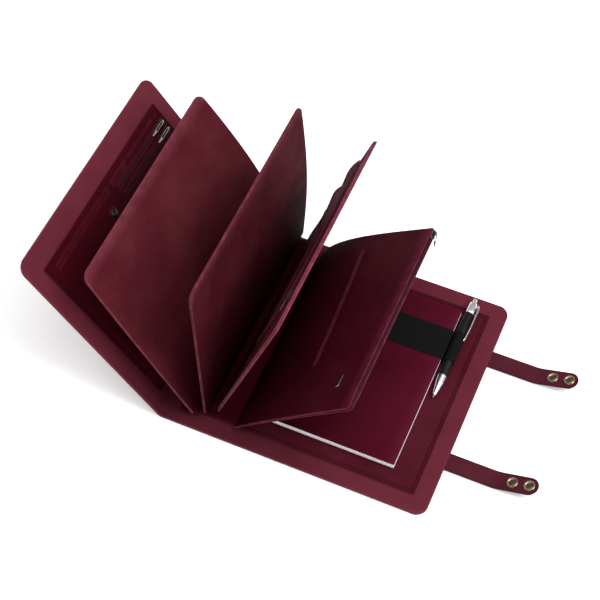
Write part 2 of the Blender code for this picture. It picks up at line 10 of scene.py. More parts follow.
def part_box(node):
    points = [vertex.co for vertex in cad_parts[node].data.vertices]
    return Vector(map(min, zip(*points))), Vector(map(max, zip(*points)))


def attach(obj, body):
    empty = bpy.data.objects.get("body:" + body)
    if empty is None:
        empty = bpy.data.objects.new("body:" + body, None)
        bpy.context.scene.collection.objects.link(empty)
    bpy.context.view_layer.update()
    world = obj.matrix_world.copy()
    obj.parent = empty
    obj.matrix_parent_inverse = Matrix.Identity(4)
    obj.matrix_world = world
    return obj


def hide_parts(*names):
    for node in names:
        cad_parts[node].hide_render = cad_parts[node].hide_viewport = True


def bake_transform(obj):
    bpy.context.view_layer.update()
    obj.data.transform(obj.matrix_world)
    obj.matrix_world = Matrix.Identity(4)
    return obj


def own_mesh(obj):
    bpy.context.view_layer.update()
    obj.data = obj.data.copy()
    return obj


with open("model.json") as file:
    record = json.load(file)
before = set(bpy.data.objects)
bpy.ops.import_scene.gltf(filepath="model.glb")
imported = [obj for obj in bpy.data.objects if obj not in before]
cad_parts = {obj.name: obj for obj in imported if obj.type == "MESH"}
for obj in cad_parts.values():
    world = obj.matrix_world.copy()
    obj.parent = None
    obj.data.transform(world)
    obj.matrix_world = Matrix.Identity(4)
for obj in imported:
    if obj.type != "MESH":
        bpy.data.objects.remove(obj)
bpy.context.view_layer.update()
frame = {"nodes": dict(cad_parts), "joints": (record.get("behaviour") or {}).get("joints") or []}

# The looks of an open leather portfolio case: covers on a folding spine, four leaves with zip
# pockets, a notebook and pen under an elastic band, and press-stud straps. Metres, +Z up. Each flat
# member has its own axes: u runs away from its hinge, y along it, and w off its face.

JOINTS = {joint["name"]: joint for joint in frame["joints"]}
ALONG = Vector((0.0, 1.0, 0.0))

# Camera, floor and light
CAMERA_PLACE = (0.2533, -0.761, 1.3309)
CAMERA_AZIMUTH = math.radians(23.59)
CAMERA_ELEVATION = math.radians(56.07)
CAMERA_ROLL = math.radians(-0.24)
CAMERA_LENS = 84.46
FLOOR_REACH = 40.0
FLOOR_DROP = 0.0004
FLOOR_GLOW = 0.22
WORLD_STRENGTH = 0.4
LIGHT_TARGET = (-0.02, 0.0, 0.08)
# Each light's name, place, size and power
LIGHTS = (
    ("key", (1.15, 0.1, 1.75), 1.2, 40.0),
    ("top", (0.35, -0.3, 2.1), 1.3, 22.0),
    ("fill", (-1.2, 0.1, 1.9), 1.5, 9.0),
    ("front", (0.45, -1.5, 0.9), 0.9, 7.0),
)

# Leather and seams
EDGE_ROUNDING = 0.0016
RIM_REACH = 0.0014
GRID_STEP = 0.014
WELD_DISTANCE = 0.000004
FOLD_REACH = 0.006
CORNER = 0.013
SPINE_SHADE = 0.55
CREASE_SHADE = 0.85
# Creases along a panel's edge: distance in, width, depth
GROOVES = ((0.0018, 0.0012, 0.0005), (0.0048, 0.0012, 0.0005))
STITCH_PITCH = 0.0042
STITCH_LENGTH = 0.0031
STITCH_RADIUS = 0.00026

# Leaves
LEAF_START = 0.006
LEAF_CORNER = 0.01
LEAF_SHADE = 0.075
LEAF_4_BOW_NEAR = 0.002
LEAF_4_BOW_FAR = 0.018
LEAF_4_SKIN_HALF = 0.0007
LEAF_4_ROOT_LIFT = 0.0012
LEAF_4_PULL_LEAN = math.radians(20.0)
MOUTH_GAPE = 0.0035
MOUTH_REACH = 0.055
MOUTH_LENGTH = 0.2

# Zips. A pull's side is drawn in shares of its half width and its length.
PULL_HALF = 0.0018
PULL_WIRE = 0.00065
PULL_EYE = 0.0013
PULL_TIP = 0.0008
PULL_SIDE = ((0.75, 0.07), (1.0, 0.16), (0.92, 0.66), (0.62, 0.84))
TOOTH_PITCH = 0.0015
TOOTH_SIZE = (0.0034, 0.00055)
EDGE_TOOTH_SIZE = (0.0032, 0.00055)
TAPE_HALF = 0.003
ZIP_LIP_PLACE = 0.0034
ZIP_LIP_HALF = 0.0007

# Notebook, band and pen. The pen's heights are measured from the top of its button.
NOTEBOOK_COVER = 0.0008
PAGE_PITCH = 0.00042
BAND_HALF = 0.0004
PEN_COLLAR = -0.0215
PEN_CLIP_LEAN = math.radians(20.0)

# Straps
STRAP_FOLD_RADIUS = 0.03
SOCKET_WELL_RADIUS = 0.0031


# ---- places and routes


class Place:
    """A flat member's axes, read from its joint and its CAD node."""

    def __init__(self, origin, direction):
        self.origin = Vector(origin)
        self.u = Vector(direction).normalized()
        self.w = self.u.cross(ALONG)

    def map(self, u, y, w):
        u, y, w = np.broadcast_arrays(u, y, w)
        points = np.array(self.origin) + u[..., None] * np.array(self.u)
        return points + y[..., None] * np.array(ALONG) + w[..., None] * np.array(self.w)

    def matrix(self, u=0.0, y=0.0, w=0.0):
        """The axes as a matrix, moved to a point of the member."""
        rotation = Matrix((self.u, ALONG, self.w)).transposed().to_4x4()
        spot = self.origin + self.u * u + ALONG * y + self.w * w
        return Matrix.Translation(spot) @ rotation

    def extent(self, node):
        """Lowest and highest (u, y, w) of a CAD node."""
        inverse = self.matrix().inverted()
        points = np.array([inverse @ vertex.co for vertex in frame["nodes"][node].data.vertices])
        return points.min(0), points.max(0)


class Route:
    """A route in the XZ plane through (x, z) corners, which are rounded. w is off its left side."""

    def __init__(self, corners, radius):
        corners = [Vector(corner) for corner in corners]
        points = [corners[0]]
        for before, corner, after in zip(corners, corners[1:], corners[2:]):
            into = (corner - before).normalized()
            out = (after - corner).normalized()
            turn = into.angle_signed(out)
            reach = min(radius * math.tan(abs(turn) / 2), 0.48 * (corner - before).length)
            start = corner - into * reach
            end = corner + out * reach
            for step in range(13):
                t = step / 12
                points.append(start * (1 - t) ** 2 + corner * 2 * t * (1 - t) + end * t**2)
        points.append(corners[-1])
        points = np.array(points)
        points = points[np.r_[True, np.linalg.norm(np.diff(points, axis=0), axis=1) > 1e-7]]
        pieces = np.linalg.norm(np.diff(points, axis=0), axis=1)
        self.s = np.r_[0, np.cumsum(pieces)]
        self.points = points
        self.length = self.s[-1]
        tangents = np.gradient(points, self.s, axis=0)
        self.angles = np.unwrap(np.arctan2(tangents[:, 1], tangents[:, 0]))

    def map(self, s, y, w):
        s, y, w = np.broadcast_arrays(s, y, w)
        angle = np.interp(s, self.s, self.angles)
        x = np.interp(s, self.s, self.points[:, 0]) - w * np.sin(angle)
        z = np.interp(s, self.s, self.points[:, 1]) + w * np.cos(angle)
        return np.stack([x, y, z], axis=-1)


def joint_at(name):
    return Vector(JOINTS[name]["pos_m"])


def place_from(node, origin):
    """Axes at a point, along the CAD node's flat face and away from the point."""
    mesh = frame["nodes"][node].data
    face = max(mesh.polygons, key=lambda polygon: polygon.area)
    direction = ALONG.cross(face.normal).normalized()
    low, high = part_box(node)
    if direction.dot((low + high) / 2 - origin) < 0:
        direction.negate()
    return Place(origin, direction)


def leaf_foot(name):
    """Where a leaf meets its strip: the far end of the strip's middle line."""
    root = joint_at(f"{name}_lean")
    strip = place_from(f"{name}_strip", root)
    low, high = strip.extent(f"{name}_strip")
    return root + strip.u * (high[0] + low[0])


def leaf_place(name, node):
    return place_from(node, leaf_foot(name))


# ---- materials

# Places of the colour sockets on a Mix node
MIX_FACTOR = 0
MIX_FIRST = 6
MIX_SECOND = 7
MIX_RESULT = 2


class Look:
    """A node material under construction. Its values are numbers, colours or other nodes' outputs."""

    def __init__(self, name, colour, roughness, metallic=0.0, specular=0.5):
        self.material = bpy.data.materials.new(name)
        self.material.use_nodes = True
        self.material.diffuse_color = (*colour, 1.0)
        self.tree = self.material.node_tree
        self.coordinates = self.add("TexCoord", "Object", {})
        self.set("Base Color", colour)
        self.set("Roughness", roughness)
        self.set("Metallic", metallic)
        self.set("Specular IOR Level", specular)

    def feed(self, target, value):
        """Links an output to an input, or sets the input's own value."""
        if isinstance(value, bpy.types.NodeSocket):
            self.tree.links.new(value, target)
        elif target.type == "RGBA":
            target.default_value = (*value, 1.0)
        else:
            target.default_value = value

    def set(self, name, value):
        self.feed(self.tree.nodes["Principled BSDF"].inputs[name], value)

    def add(self, kind, output, inputs, **settings):
        """Adds a node and returns one of its outputs."""
        node = self.tree.nodes.new("ShaderNode" + kind)
        for name, value in settings.items():
            setattr(node, name, value)
        for name, value in inputs.items():
            self.feed(node.inputs[name], value)
        return node.outputs[output]

    def noise(self, scale, detail=3.0, roughness=0.5, stretch=None):
        where = self.coordinates
        if stretch:
            where = self.add("Mapping", "Vector", {"Scale": stretch, "Vector": where})
        inputs = {"Scale": scale, "Detail": detail, "Roughness": roughness, "Vector": where}
        return self.add("TexNoise", "Fac", inputs)

    def cells(self, scale):
        inputs = {"Scale": scale, "Vector": self.coordinates}
        return self.add("TexVoronoi", "Distance", inputs, feature="DISTANCE_TO_EDGE")

    def attribute(self, name):
        return self.add("Attribute", "Fac", {}, attribute_name=name)

    def remap(self, value, low, high, to_low=0.0, to_high=1.0):
        inputs = {"From Min": low, "From Max": high, "To Min": to_low, "To Max": to_high, "Value": value}
        return self.add("MapRange", "Result", inputs)

    def math(self, operation, first, second):
        return self.add("Math", "Value", {0: first, 1: second}, operation=operation)

    def mix(self, factor, first, second):
        inputs = {MIX_FACTOR: factor, MIX_FIRST: first, MIX_SECOND: second}
        return self.add("Mix", MIX_RESULT, inputs, data_type="RGBA")

    def ribs(self, axis, pitch):
        """A wave from 0 to 1 across the ribs."""
        along = self.add("SeparateXYZ", axis, {"Vector": self.coordinates})
        turns = self.math("MULTIPLY", along, 2 * math.pi / pitch)
        return self.remap(self.math("SINE", turns, 0.0), -1.0, 1.0)

    def bump(self, height, distance, strength):
        inputs = {"Distance": distance, "Strength": strength, "Height": height}
        self.set("Normal", self.add("Bump", "Normal", inputs))


def leather(name, deep, warm, edge_colour, roughness, grain=0.00012):
    """Oiled leather with a cloudy tone and a pebbled grain.

    Where the "rim" attribute is high it takes its edge colour, part wear and, where lighter, part painted
    highlight; where "fold" is high it is darkened by painted shade.
    """
    look = Look(name, warm, roughness, specular=0.03)
    look.set("Specular Tint", (1.0, 0.3, 0.42))
    clouds = look.remap(look.noise(17.0, 4.0, 0.55), 0.34, 0.66)
    pores = look.remap(look.noise(420.0, 3.0, 0.6), 0.3, 0.72)
    tone = look.mix(clouds, deep, warm)
    darker = tuple(value * 0.62 for value in deep)
    tone = look.mix(look.math("MULTIPLY", pores, 0.35), tone, darker)
    # Painted shade: where the "fold" attribute is high, the tone darkens towards a third of the deep colour.
    shaded = tuple(value * 0.3 for value in deep)
    tone = look.mix(look.attribute("fold"), tone, shaded)
    # Edge colour where "rim" is high, broken into patches: part wear and, where it is lighter, part painted
    # edge highlight.
    edge_breakup = look.remap(look.noise(95.0, 5.0, 0.65), 0.4, 0.75, 0.35, 1.0)
    rim = look.math("MULTIPLY", look.attribute("rim"), edge_breakup)
    look.set("Base Color", look.mix(rim, tone, edge_colour))
    wear = look.noise(60.0, 3.0)
    look.set("Roughness", look.remap(wear, 0.3, 0.7, roughness - 0.07, roughness + 0.08))
    grains = look.remap(look.cells(1150.0), 0.0, 0.22)
    fine = look.noise(2600.0, 2.0)
    height = look.math("ADD", grains, look.math("MULTIPLY", fine, 0.5))
    wrinkles = look.noise(70.0, 4.0, 0.6)
    look.bump(look.math("ADD", height, look.math("MULTIPLY", wrinkles, 3.0)), grain, 0.8)
    return look.material


def metal(name, colour, patina, roughness, scale=900.0):
    """Metal with a cloudy patina and fine scratches."""
    look = Look(name, colour, roughness, metallic=1.0)
    spots = look.remap(look.noise(scale, 4.0, 0.6), 0.38, 0.66)
    look.set("Base Color", look.mix(spots, patina, colour))
    wear = look.noise(scale * 1.7, 3.0)
    look.set("Roughness", look.remap(wear, 0.3, 0.7, roughness * 0.7, roughness * 1.4))
    look.bump(look.noise(scale * 3.0, 2.0), 0.00002, 0.5)
    return look.material


def webbing(name, colour, light, axis, pitch):
    """Woven cloth with ribs across one axis."""
    look = Look(name, colour, 0.85, specular=0.08)
    ribs = look.ribs(axis, pitch)
    threads = look.noise(1900.0, 3.0, 0.7)
    look.set("Base Color", look.mix(look.math("MULTIPLY", ribs, threads), colour, light))
    look.bump(look.math("ADD", ribs, look.math("MULTIPLY", threads, 0.5)), 0.00022, 0.9)
    return look.material


def plain(name, colour, second, roughness, scale, bump, specular=0.5):
    """Rubber, plastic or paint, slightly uneven."""
    look = Look(name, colour, roughness, specular=specular)
    spots = look.remap(look.noise(scale, 4.0, 0.6), 0.35, 0.68)
    look.set("Base Color", look.mix(spots, second, colour))
    wear = look.noise(scale * 0.6, 3.0)
    look.set("Roughness", look.remap(wear, 0.3, 0.7, roughness - 0.05, roughness + 0.07))
    look.bump(look.noise(scale * 2.5, 3.0), bump, 0.7)
    return look.material


def page_edges(name):
    """Stacked sheets of paper, seen on their edges."""
    look = Look(name, (0.93, 0.91, 0.92), 0.88, specular=0.2)
    sheets = look.ribs("Z", PAGE_PITCH)
    uneven = look.noise(160.0, 3.0, 0.6, stretch=(1.0, 1.0, 30.0))
    shade = look.math("MULTIPLY", sheets, uneven)
    look.set("Base Color", look.mix(shade, (0.98, 0.95, 0.97), (0.84, 0.79, 0.82)))
    look.bump(sheets, 0.00008, 0.6)
    return look.material


# A leather's colours are its deep tone, its warm tone and its edge colour; a lighter edge colour is part
# wear and part painted highlight
COVER = leather("cover_leather", (0.088, 0.0135, 0.0235), (0.108, 0.018, 0.029), (0.16, 0.032, 0.052), 0.6)
LINING = leather("panel_leather", (0.03, 0.0015, 0.0044), (0.038, 0.0022, 0.006), (0.088, 0.01, 0.02), 0.52)
BACK_PANEL_TONES = ((0.046, 0.0048, 0.01), (0.06, 0.0076, 0.0145), (0.1, 0.016, 0.028))
BACK_PANEL = leather("back_panel_leather", *BACK_PANEL_TONES, 0.52)
LEAF = leather("leaf_leather", (0.058, 0.0062, 0.012), (0.086, 0.0145, 0.019), (0.21, 0.05, 0.078), 0.72)
# A darker copy of the leaf leather, which paints the second leaf's shade into its colour.
LEAF_2_IN_PAINTED_SHADE = leather("leaf_2_painted_shade_leather", (0.046, 0.0046, 0.0094), (0.07, 0.011, 0.015), (0.165, 0.038, 0.06), 0.76)
POUCH_TONES = ((0.04, 0.0026, 0.0078), (0.056, 0.0052, 0.0105), (0.16, 0.026, 0.056))
DARK_LEAF = leather("pouch_leather", *POUCH_TONES, 0.58)
# Near-black leather for the leaves' root folds and bindings: it paints the deep shade of the valleys between
# the leaves.
VALLEY_SHADE_LEATHER = leather("root_painted_shade_leather", (0.018, 0.001, 0.0028), (0.024, 0.0014, 0.0036), (0.06, 0.007, 0.015), 0.58)
STRAP = leather("strap_leather", (0.052, 0.009, 0.0155), (0.068, 0.013, 0.021), (0.026, 0.0045, 0.008), 0.55)
NOTEBOOK_TONES = ((0.05, 0.003, 0.01), (0.062, 0.0045, 0.013), (0.095, 0.012, 0.029))
NOTEBOOK = leather("notebook_skin", *NOTEBOOK_TONES, 0.46, 0.00005)
THREAD = webbing("seam_thread", (0.04, 0.003, 0.009), (0.07, 0.008, 0.018), "Y", 0.0006)
TAPE = webbing("zip_tape", (0.028, 0.003, 0.008), (0.055, 0.007, 0.015), "Y", 0.0009)
ELASTIC = webbing("black_elastic", (0.0022, 0.0021, 0.0023), (0.0085, 0.008, 0.0084), "Y", 0.0013)
COIL = plain("zip_coil", (0.034, 0.004, 0.009), (0.02, 0.0026, 0.006), 0.5, 500.0, 0.00002, specular=0.15)
GRIP = plain("pen_grip", (0.003, 0.003, 0.0034), (0.005, 0.005, 0.0056), 0.5, 1400.0, 0.00003, specular=0.16)
# Near-black, for the disc that paints the shade inside a socket's hole.
SOCKET_HOLE_SHADE = plain("socket_hole_painted_shade", (0.01, 0.008, 0.006), (0.018, 0.014, 0.01), 0.6, 900.0, 0.00003)
NICKEL = metal("nickel", (0.72, 0.7, 0.68), (0.5, 0.48, 0.46), 0.2)
GUNMETAL = metal("gunmetal", (0.1, 0.095, 0.09), (0.07, 0.066, 0.062), 0.34)
SLIDER = metal("dark_slider", (0.06, 0.04, 0.042), (0.03, 0.018, 0.02), 0.42)
BRASS = metal("antique_brass", (0.52, 0.41, 0.24), (0.16, 0.11, 0.06), 0.32, 520.0)
CHROME = metal("pen_chrome", (0.9, 0.9, 0.92), (0.8, 0.8, 0.82), 0.24)
REFILL = metal("refill_tube", (0.62, 0.52, 0.3), (0.48, 0.4, 0.24), 0.34)
PAGES = page_edges("notebook_pages")


# ---- mesh makers


def settle(name, mesh, material, replaces=(), matrix=Matrix()):
    """Makes a mesh a piece with its material and the CAD nodes it stands for."""
    obj = bpy.data.objects.new(name, mesh)
    obj.matrix_world = matrix
    mesh.materials.clear()
    mesh.materials.append(material)
    bpy.context.scene.collection.objects.link(obj)
    if replaces:
        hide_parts(*replaces)
    return obj


def smooth(mesh, degrees):
    mesh.shade_smooth()
    mesh.set_sharp_from_angle(angle=math.radians(degrees))


def weld(mesh):
    """Joins the points that lie on each other and turns the faces outwards."""
    shape = bmesh.new()
    shape.from_mesh(mesh)
    bmesh.ops.remove_doubles(shape, verts=shape.verts, dist=WELD_DISTANCE)
    bmesh.ops.dissolve_degenerate(shape, edges=shape.edges, dist=WELD_DISTANCE / 4)
    bmesh.ops.recalc_face_normals(shape, faces=shape.faces)
    shape.to_mesh(mesh)
    shape.free()


def merged(*groups):
    """Distances in from an edge, sorted, without near repeats."""
    result = []
    for value in sorted(value for group in groups for value in group):
        if not result or value - result[-1] > 0.00006:
            result.append(value)
    return result


def lines(low, high, near_low, near_high, between):
    """Grid lines from low to high: some near each end, and evenly spread ones between."""
    start = low + np.array(near_low)
    end = high - np.array(near_high)[::-1]
    middle = np.linspace(start[-1], end[0], between + 2)[1:-1]
    return np.concatenate([start, middle, end])


def paint(mesh, name, values):
    """Stores a number at each point, which the leather's material reads."""
    attribute = mesh.attributes.new(name, "FLOAT", "POINT")
    attribute.data.foreach_set("value", np.ravel(values).astype(np.float32))


def no_shade(u, y):
    return np.zeros(np.shape(u))


def fade(start, reach, level=1.0):
    """A shade that is strongest at u = start and gone at the distance reach from it."""

    def shade(u, y):
        return level * np.clip(1 - (u - start) / reach, 0, 1) ** 0.8

    return shade


def even(level):
    """A shade that is the same everywhere."""

    def shade(u, y):
        return np.full(np.shape(u), level)

    return shade


def slab_grid(size, corner, steps, near_root, near_end, step):
    """A grid over a panel with round outer corners, finer near its edges."""
    u0, u1, y0, y1 = size
    turn_steps = [corner * (1 - math.sin(math.radians(a))) for a in range(90, -1, -9)] if corner else []
    ends = merged(steps, turn_steps)
    across = max(1, round((u1 - u0) / step))
    rows = lines(y0, y1, ends, ends, max(1, round((y1 - y0) / step)))
    grid = []
    for y in rows:
        short = max(corner - min(y - y0, y1 - y), 0.0)
        inset = corner - math.sqrt(max(corner**2 - short**2, 0.0))
        grid.append(lines(u0, u1 - inset, near_root, near_end, across))
    u = np.array(grid)
    return u, np.repeat(rows[:, None], u.shape[1], axis=1)


def edge_distance(u, y, size, corner, open_root, open_end):
    """How far each grid point is in from the panel's edge, leaving out its open edges."""
    u0, u1, y0, y1 = size
    to_side = np.minimum(y - y0, y1 - y)
    to_end = np.full(u.shape, 1.0) if open_end else u1 - u
    to_root = np.full(u.shape, 1.0) if open_root else u - u0
    depth = np.minimum(np.minimum(to_side, to_end), to_root)
    if corner:
        in_corner = (to_end < corner) & (to_side < corner)
        to_arc = corner - np.hypot(corner - to_end, corner - to_side)
        depth = np.where(in_corner, np.minimum(to_arc, to_root), depth)
    return np.maximum(depth, 0.0)


def sheet_mesh(name, top, bottom):
    """A closed sheet between two grids of points."""
    count = top.shape[0] * top.shape[1]
    index = np.arange(count).reshape(top.shape[:2])
    a, b, c, d = index[:-1, :-1], index[:-1, 1:], index[1:, 1:], index[1:, :-1]
    quads = np.stack([a, b, c, d], axis=-1).reshape(-1, 4)
    loop = np.concatenate([index[0, :], index[1:, -1], index[-1, -2::-1], index[-2:0:-1, 0]])
    following = np.roll(loop, -1)
    walls = np.stack([following, loop, loop + count, following + count], axis=-1)
    faces = np.concatenate([quads, quads[:, ::-1] + count, walls])
    points = np.concatenate([top.reshape(-1, 3), bottom.reshape(-1, 3)])
    mesh = bpy.data.meshes.new(name)
    mesh.from_pydata(points.tolist(), [], faces.tolist())
    return mesh


def slab(
    name,
    where,
    size,
    thick,
    material,
    slot,
    corner=0.0,
    edge=EDGE_ROUNDING,
    rim=RIM_REACH,
    grooves=(),
    side=1,
    open_root=True,
    open_end=False,
    swell=None,
    shade=no_shade,
    shade_side=None,
    step=GRID_STEP,
    replaces=(),
):
    """A leather panel with rounded edges and corners.

    size is (u0, u1, y0, y1) and thick is (w0, w1). side is the side that grooves are pressed into.
    open_root and open_end leave those edges square, where another piece carries on. swell(u, y)
    moves the sheet off its plane, and shade(u, y) darkens it with painted shade, on shade_side alone if that
    is given.
    rim is how far the edge colour, part wear and part painted highlight, reaches in from the edge.
    """
    w0, w1 = sorted(thick)
    half = (w1 - w0) / 2
    edge = min(edge, half * 1.2)
    round_steps = [edge * share for share in (0.0, 0.08, 0.3, 0.65, 1.0)]
    groove_steps = [d + share * width for d, width, _ in grooves for share in (-0.5, 0.0, 0.5)]
    sides = merged(round_steps, groove_steps)
    near_root = [0.0] if open_root else sides
    near_end = [0.0] if open_end else sides
    u, y = slab_grid(size, corner, sides, near_root, near_end, step)
    depth = edge_distance(u, y, size, corner, open_root, open_end)
    full = np.sqrt(np.maximum(1 - (1 - np.minimum(depth / edge, 1.0)) ** 2, 0.0))
    pressed = np.zeros(u.shape)
    for distance, width, deep in grooves:
        pressed += deep * np.clip(1 - np.abs(depth - distance) / (width / 2), 0.0, 1.0)
    middle = (w0 + w1) / 2 + (swell(u, y) if swell else 0.0)
    top = middle + half * full - (pressed if side > 0 else 0.0)
    bottom = middle - half * full + (pressed if side < 0 else 0.0)
    mesh = sheet_mesh(name, where.map(u, y, top), where.map(u, y, bottom))
    # The edge colour's mask, in from the edge: part wear and part painted highlight.
    wear = np.clip(1 - depth / rim, 0, 1)
    paint(mesh, "rim", (wear, wear))
    # Painted shade for the "fold" attribute: the pressed creases and shade(u, y), on one face or both.
    creases = pressed / max([deep for _, _, deep in grooves], default=1.0)
    dark = np.maximum(shade(u, y), CREASE_SHADE * creases)
    other = np.zeros(dark.shape) if grooves or shade_side else dark
    paint(mesh, "fold", (dark, other) if (shade_side or side) > 0 else (other, dark))
    weld(mesh)
    smooth(mesh, 50.0)
    return settle(name, mesh, material, replaces)


def plate(name, outlines, low, high, bevel, matrix, material, slot, replaces=()):
    """A flat plate with rounded edges in a matrix's XY plane. The outlines after the first are holes."""
    curve = bpy.data.curves.new(name, "CURVE")
    curve.dimensions = "2D"
    curve.fill_mode = "BOTH"
    curve.extrude = (high - low) / 2 - bevel
    curve.bevel_depth = bevel
    curve.bevel_resolution = 2
    curve.offset = -bevel
    for outline in outlines:
        spline = curve.splines.new("POLY")
        spline.points.add(len(outline) - 1)
        for point, (x, y) in zip(spline.points, outline):
            point.co = (x, y, 0.0, 1.0)
        spline.use_cyclic_u = True
    holder = bpy.data.objects.new(name + "_curve", curve)
    bpy.context.scene.collection.objects.link(holder)
    bpy.context.view_layer.update()
    graph = bpy.context.evaluated_depsgraph_get()
    mesh = bpy.data.meshes.new_from_object(holder.evaluated_get(graph))
    bpy.data.objects.remove(holder)
    mesh.transform(Matrix.Translation((0.0, 0.0, (low + high) / 2)))
    smooth(mesh, 32.0)
    return settle(name, mesh, material, replaces, matrix)


def turned(name, profile, matrix, material, slot, replaces=(), segments=40):
    """A profile of (radius, height) points, turned about the matrix's Z axis."""
    turns = np.linspace(0, 2 * math.pi, segments, endpoint=False)
    radius, height = np.array(profile).T
    x = np.outer(np.cos(turns), radius)
    y = np.outer(np.sin(turns), radius)
    points = np.stack([x, y, np.tile(height, (segments, 1))], axis=-1).reshape(-1, 3)
    count = len(profile)
    faces = []
    for i in range(segments):
        j = (i + 1) % segments
        for k in range(count - 1):
            faces.append((i * count + k, i * count + k + 1, j * count + k + 1, j * count + k))
    mesh = bpy.data.meshes.new(name)
    mesh.from_pydata(points.tolist(), [], faces)
    weld(mesh)
    smooth(mesh, 32.0)
    return settle(name, mesh, material, replaces, matrix)


def capsules(name, centres, along, off, length, radius, material, slot, flat=0.7):
    """Many small rounded bars in one mesh, such as stitches or zip teeth."""
    centres = np.array(centres)
    along = np.broadcast_to(np.array(along, float), centres.shape)
    off = np.broadcast_to(np.array(off, float), centres.shape)
    sideways = np.cross(off, along)
    stations = [(-0.5, 0.35), (-0.4, 0.85), (0.0, 1.0), (0.4, 0.85), (0.5, 0.35)]
    sides = 6
    rings = []
    for share, scale in stations:
        for k in range(sides):
            angle = 2 * math.pi * k / sides
            arm = sideways * math.cos(angle) + off * math.sin(angle) * flat
            rings.append(centres + along * share * length + arm * radius * scale)
    points = np.stack(rings, axis=1).reshape(-1, 3)
    per = len(rings)
    base = []
    for r in range(len(stations) - 1):
        for k in range(sides):
            n = (k + 1) % sides
            base.append((r * sides + k, r * sides + n, (r + 1) * sides + n, (r + 1) * sides + k))
    caps = [tuple(range(sides))[::-1], tuple((len(stations) - 1) * sides + k for k in range(sides))]
    faces = [tuple(i * per + v for v in face) for i in range(len(centres)) for face in base + caps]
    mesh = bpy.data.meshes.new(name)
    mesh.from_pydata(points.tolist(), [], faces)
    mesh.validate()
    smooth(mesh, 60.0)
    return settle(name, mesh, material)


def stitches(name, where, corners, w, material, slot):
    """Thread stitches along a chain of (u, y) corners on a flat member."""
    centres = []
    directions = []
    for start, end in zip(corners, corners[1:]):
        start, end = np.array(start), np.array(end)
        run = np.linalg.norm(end - start)
        count = max(1, round(run / STITCH_PITCH))
        for i in range(count):
            u, y = start + (end - start) * (i + 0.5) / count
            centres.append(where.map(u, y, w))
            step = (end - start) / run
            directions.append(step[0] * np.array(where.u) + step[1] * np.array(ALONG))
    off = np.array(where.w)
    return capsules(name, centres, directions, off, STITCH_LENGTH, STITCH_RADIUS, material, slot)


def mirrored(points):
    """The points and their mirror images across the Y axis, as one outline."""
    return points + [(-x, y) for x, y in reversed(points)]


def arc(x, y, radius, start, end, steps=8):
    """Points on an arc, with its angles in degrees."""
    turns = [math.radians(start + (end - start) * i / steps) for i in range(steps + 1)]
    return [(x + radius * math.cos(a), y + radius * math.sin(a)) for a in turns]


def rounded(x0, x1, y0, y1, radius, steps=5):
    """A rectangle with round corners."""
    return (
        arc(x1 - radius, y0 + radius, radius, -90, 0, steps)
        + arc(x1 - radius, y1 - radius, radius, 0, 90, steps)
        + arc(x0 + radius, y1 - radius, radius, 90, 180, steps)
        + arc(x0 + radius, y0 + radius, radius, 180, 270, steps)
    )


# ---- camera, floor and light


def make_stage():
    """A white floor that glows a little, so that it stays pale in the shade."""
    mesh = bpy.data.meshes.new("floor")
    corners = [(x * FLOOR_REACH, y * FLOOR_REACH, 0.0) for x, y in ((-1, -1), (1, -1), (1, 1), (-1, 1))]
    mesh.from_pydata(corners, [], [(0, 1, 2, 3)])
    floor = bpy.data.objects.new("floor", mesh)
    floor.location.z = -FLOOR_DROP
    look = Look("floor_white", (0.9, 0.9, 0.9), 0.9, specular=0.1)
    look.set("Emission Color", (1.0, 1.0, 1.0))
    look.set("Emission Strength", FLOOR_GLOW)
    mesh.materials.append(look.material)
    bpy.context.scene.collection.objects.link(floor)


def make_lights():
    scene = bpy.context.scene
    scene.view_settings.view_transform = "Standard"
    world = bpy.data.worlds.new("studio")
    world.use_nodes = True
    background = world.node_tree.nodes["Background"]
    background.inputs["Color"].default_value = (1.0, 0.99, 0.985, 1.0)
    background.inputs["Strength"].default_value = WORLD_STRENGTH
    scene.world = world
    for name, spot, size, power in LIGHTS:
        light = bpy.data.lights.new(name, "AREA")
        light.shape = "SQUARE"
        light.size = size
        light.energy = power
        lamp = bpy.data.objects.new(name, light)
        lamp.location = spot
        lamp.rotation_euler = (Vector(LIGHT_TARGET) - Vector(spot)).to_track_quat("-Z", "Y").to_euler()
        scene.collection.objects.link(lamp)


def make_camera():
    camera = bpy.data.cameras.new("camera")
    camera.lens = CAMERA_LENS
    camera.sensor_width = 36.0
    camera.clip_end = 50.0
    obj = bpy.data.objects.new("camera", camera)
    turn = Matrix.Rotation(CAMERA_AZIMUTH, 4, "Z") @ Matrix.Rotation(math.pi / 2 - CAMERA_ELEVATION, 4, "X")
    obj.matrix_world = Matrix.Translation(CAMERA_PLACE) @ turn @ Matrix.Rotation(CAMERA_ROLL, 4, "Z")
    bpy.context.scene.collection.objects.link(obj)
    bpy.context.scene.camera = obj


# ---- covers and spine

BACK = Place(joint_at("spine_fold"), (1.0, 0.0, 0.0))
FRONT = place_from("front_cover_lining", joint_at("front_cover_fold"))
SPINE = Place(joint_at("spine_fold"), (-1.0, 0.0, 0.0))
COVER_LOW, COVER_HIGH = BACK.extent("back_cover_leather")
THICKNESS = -COVER_LOW[2]
HALF_HEIGHT = COVER_HIGH[1]


def outline_of(low, high):
    """A CAD node's size along u and y, as slab takes it."""
    return (low[0], high[0], low[1], high[1])


def centre_of(low, high):
    """The middle of a CAD node along u and y."""
    return (low[0] + high[0]) / 2, (low[1] + high[1]) / 2


def layers(member):
    """The CAD nodes of a cover or the spine."""
    return [f"{member}_{layer}" for layer in ("leather", "board", "lining")]


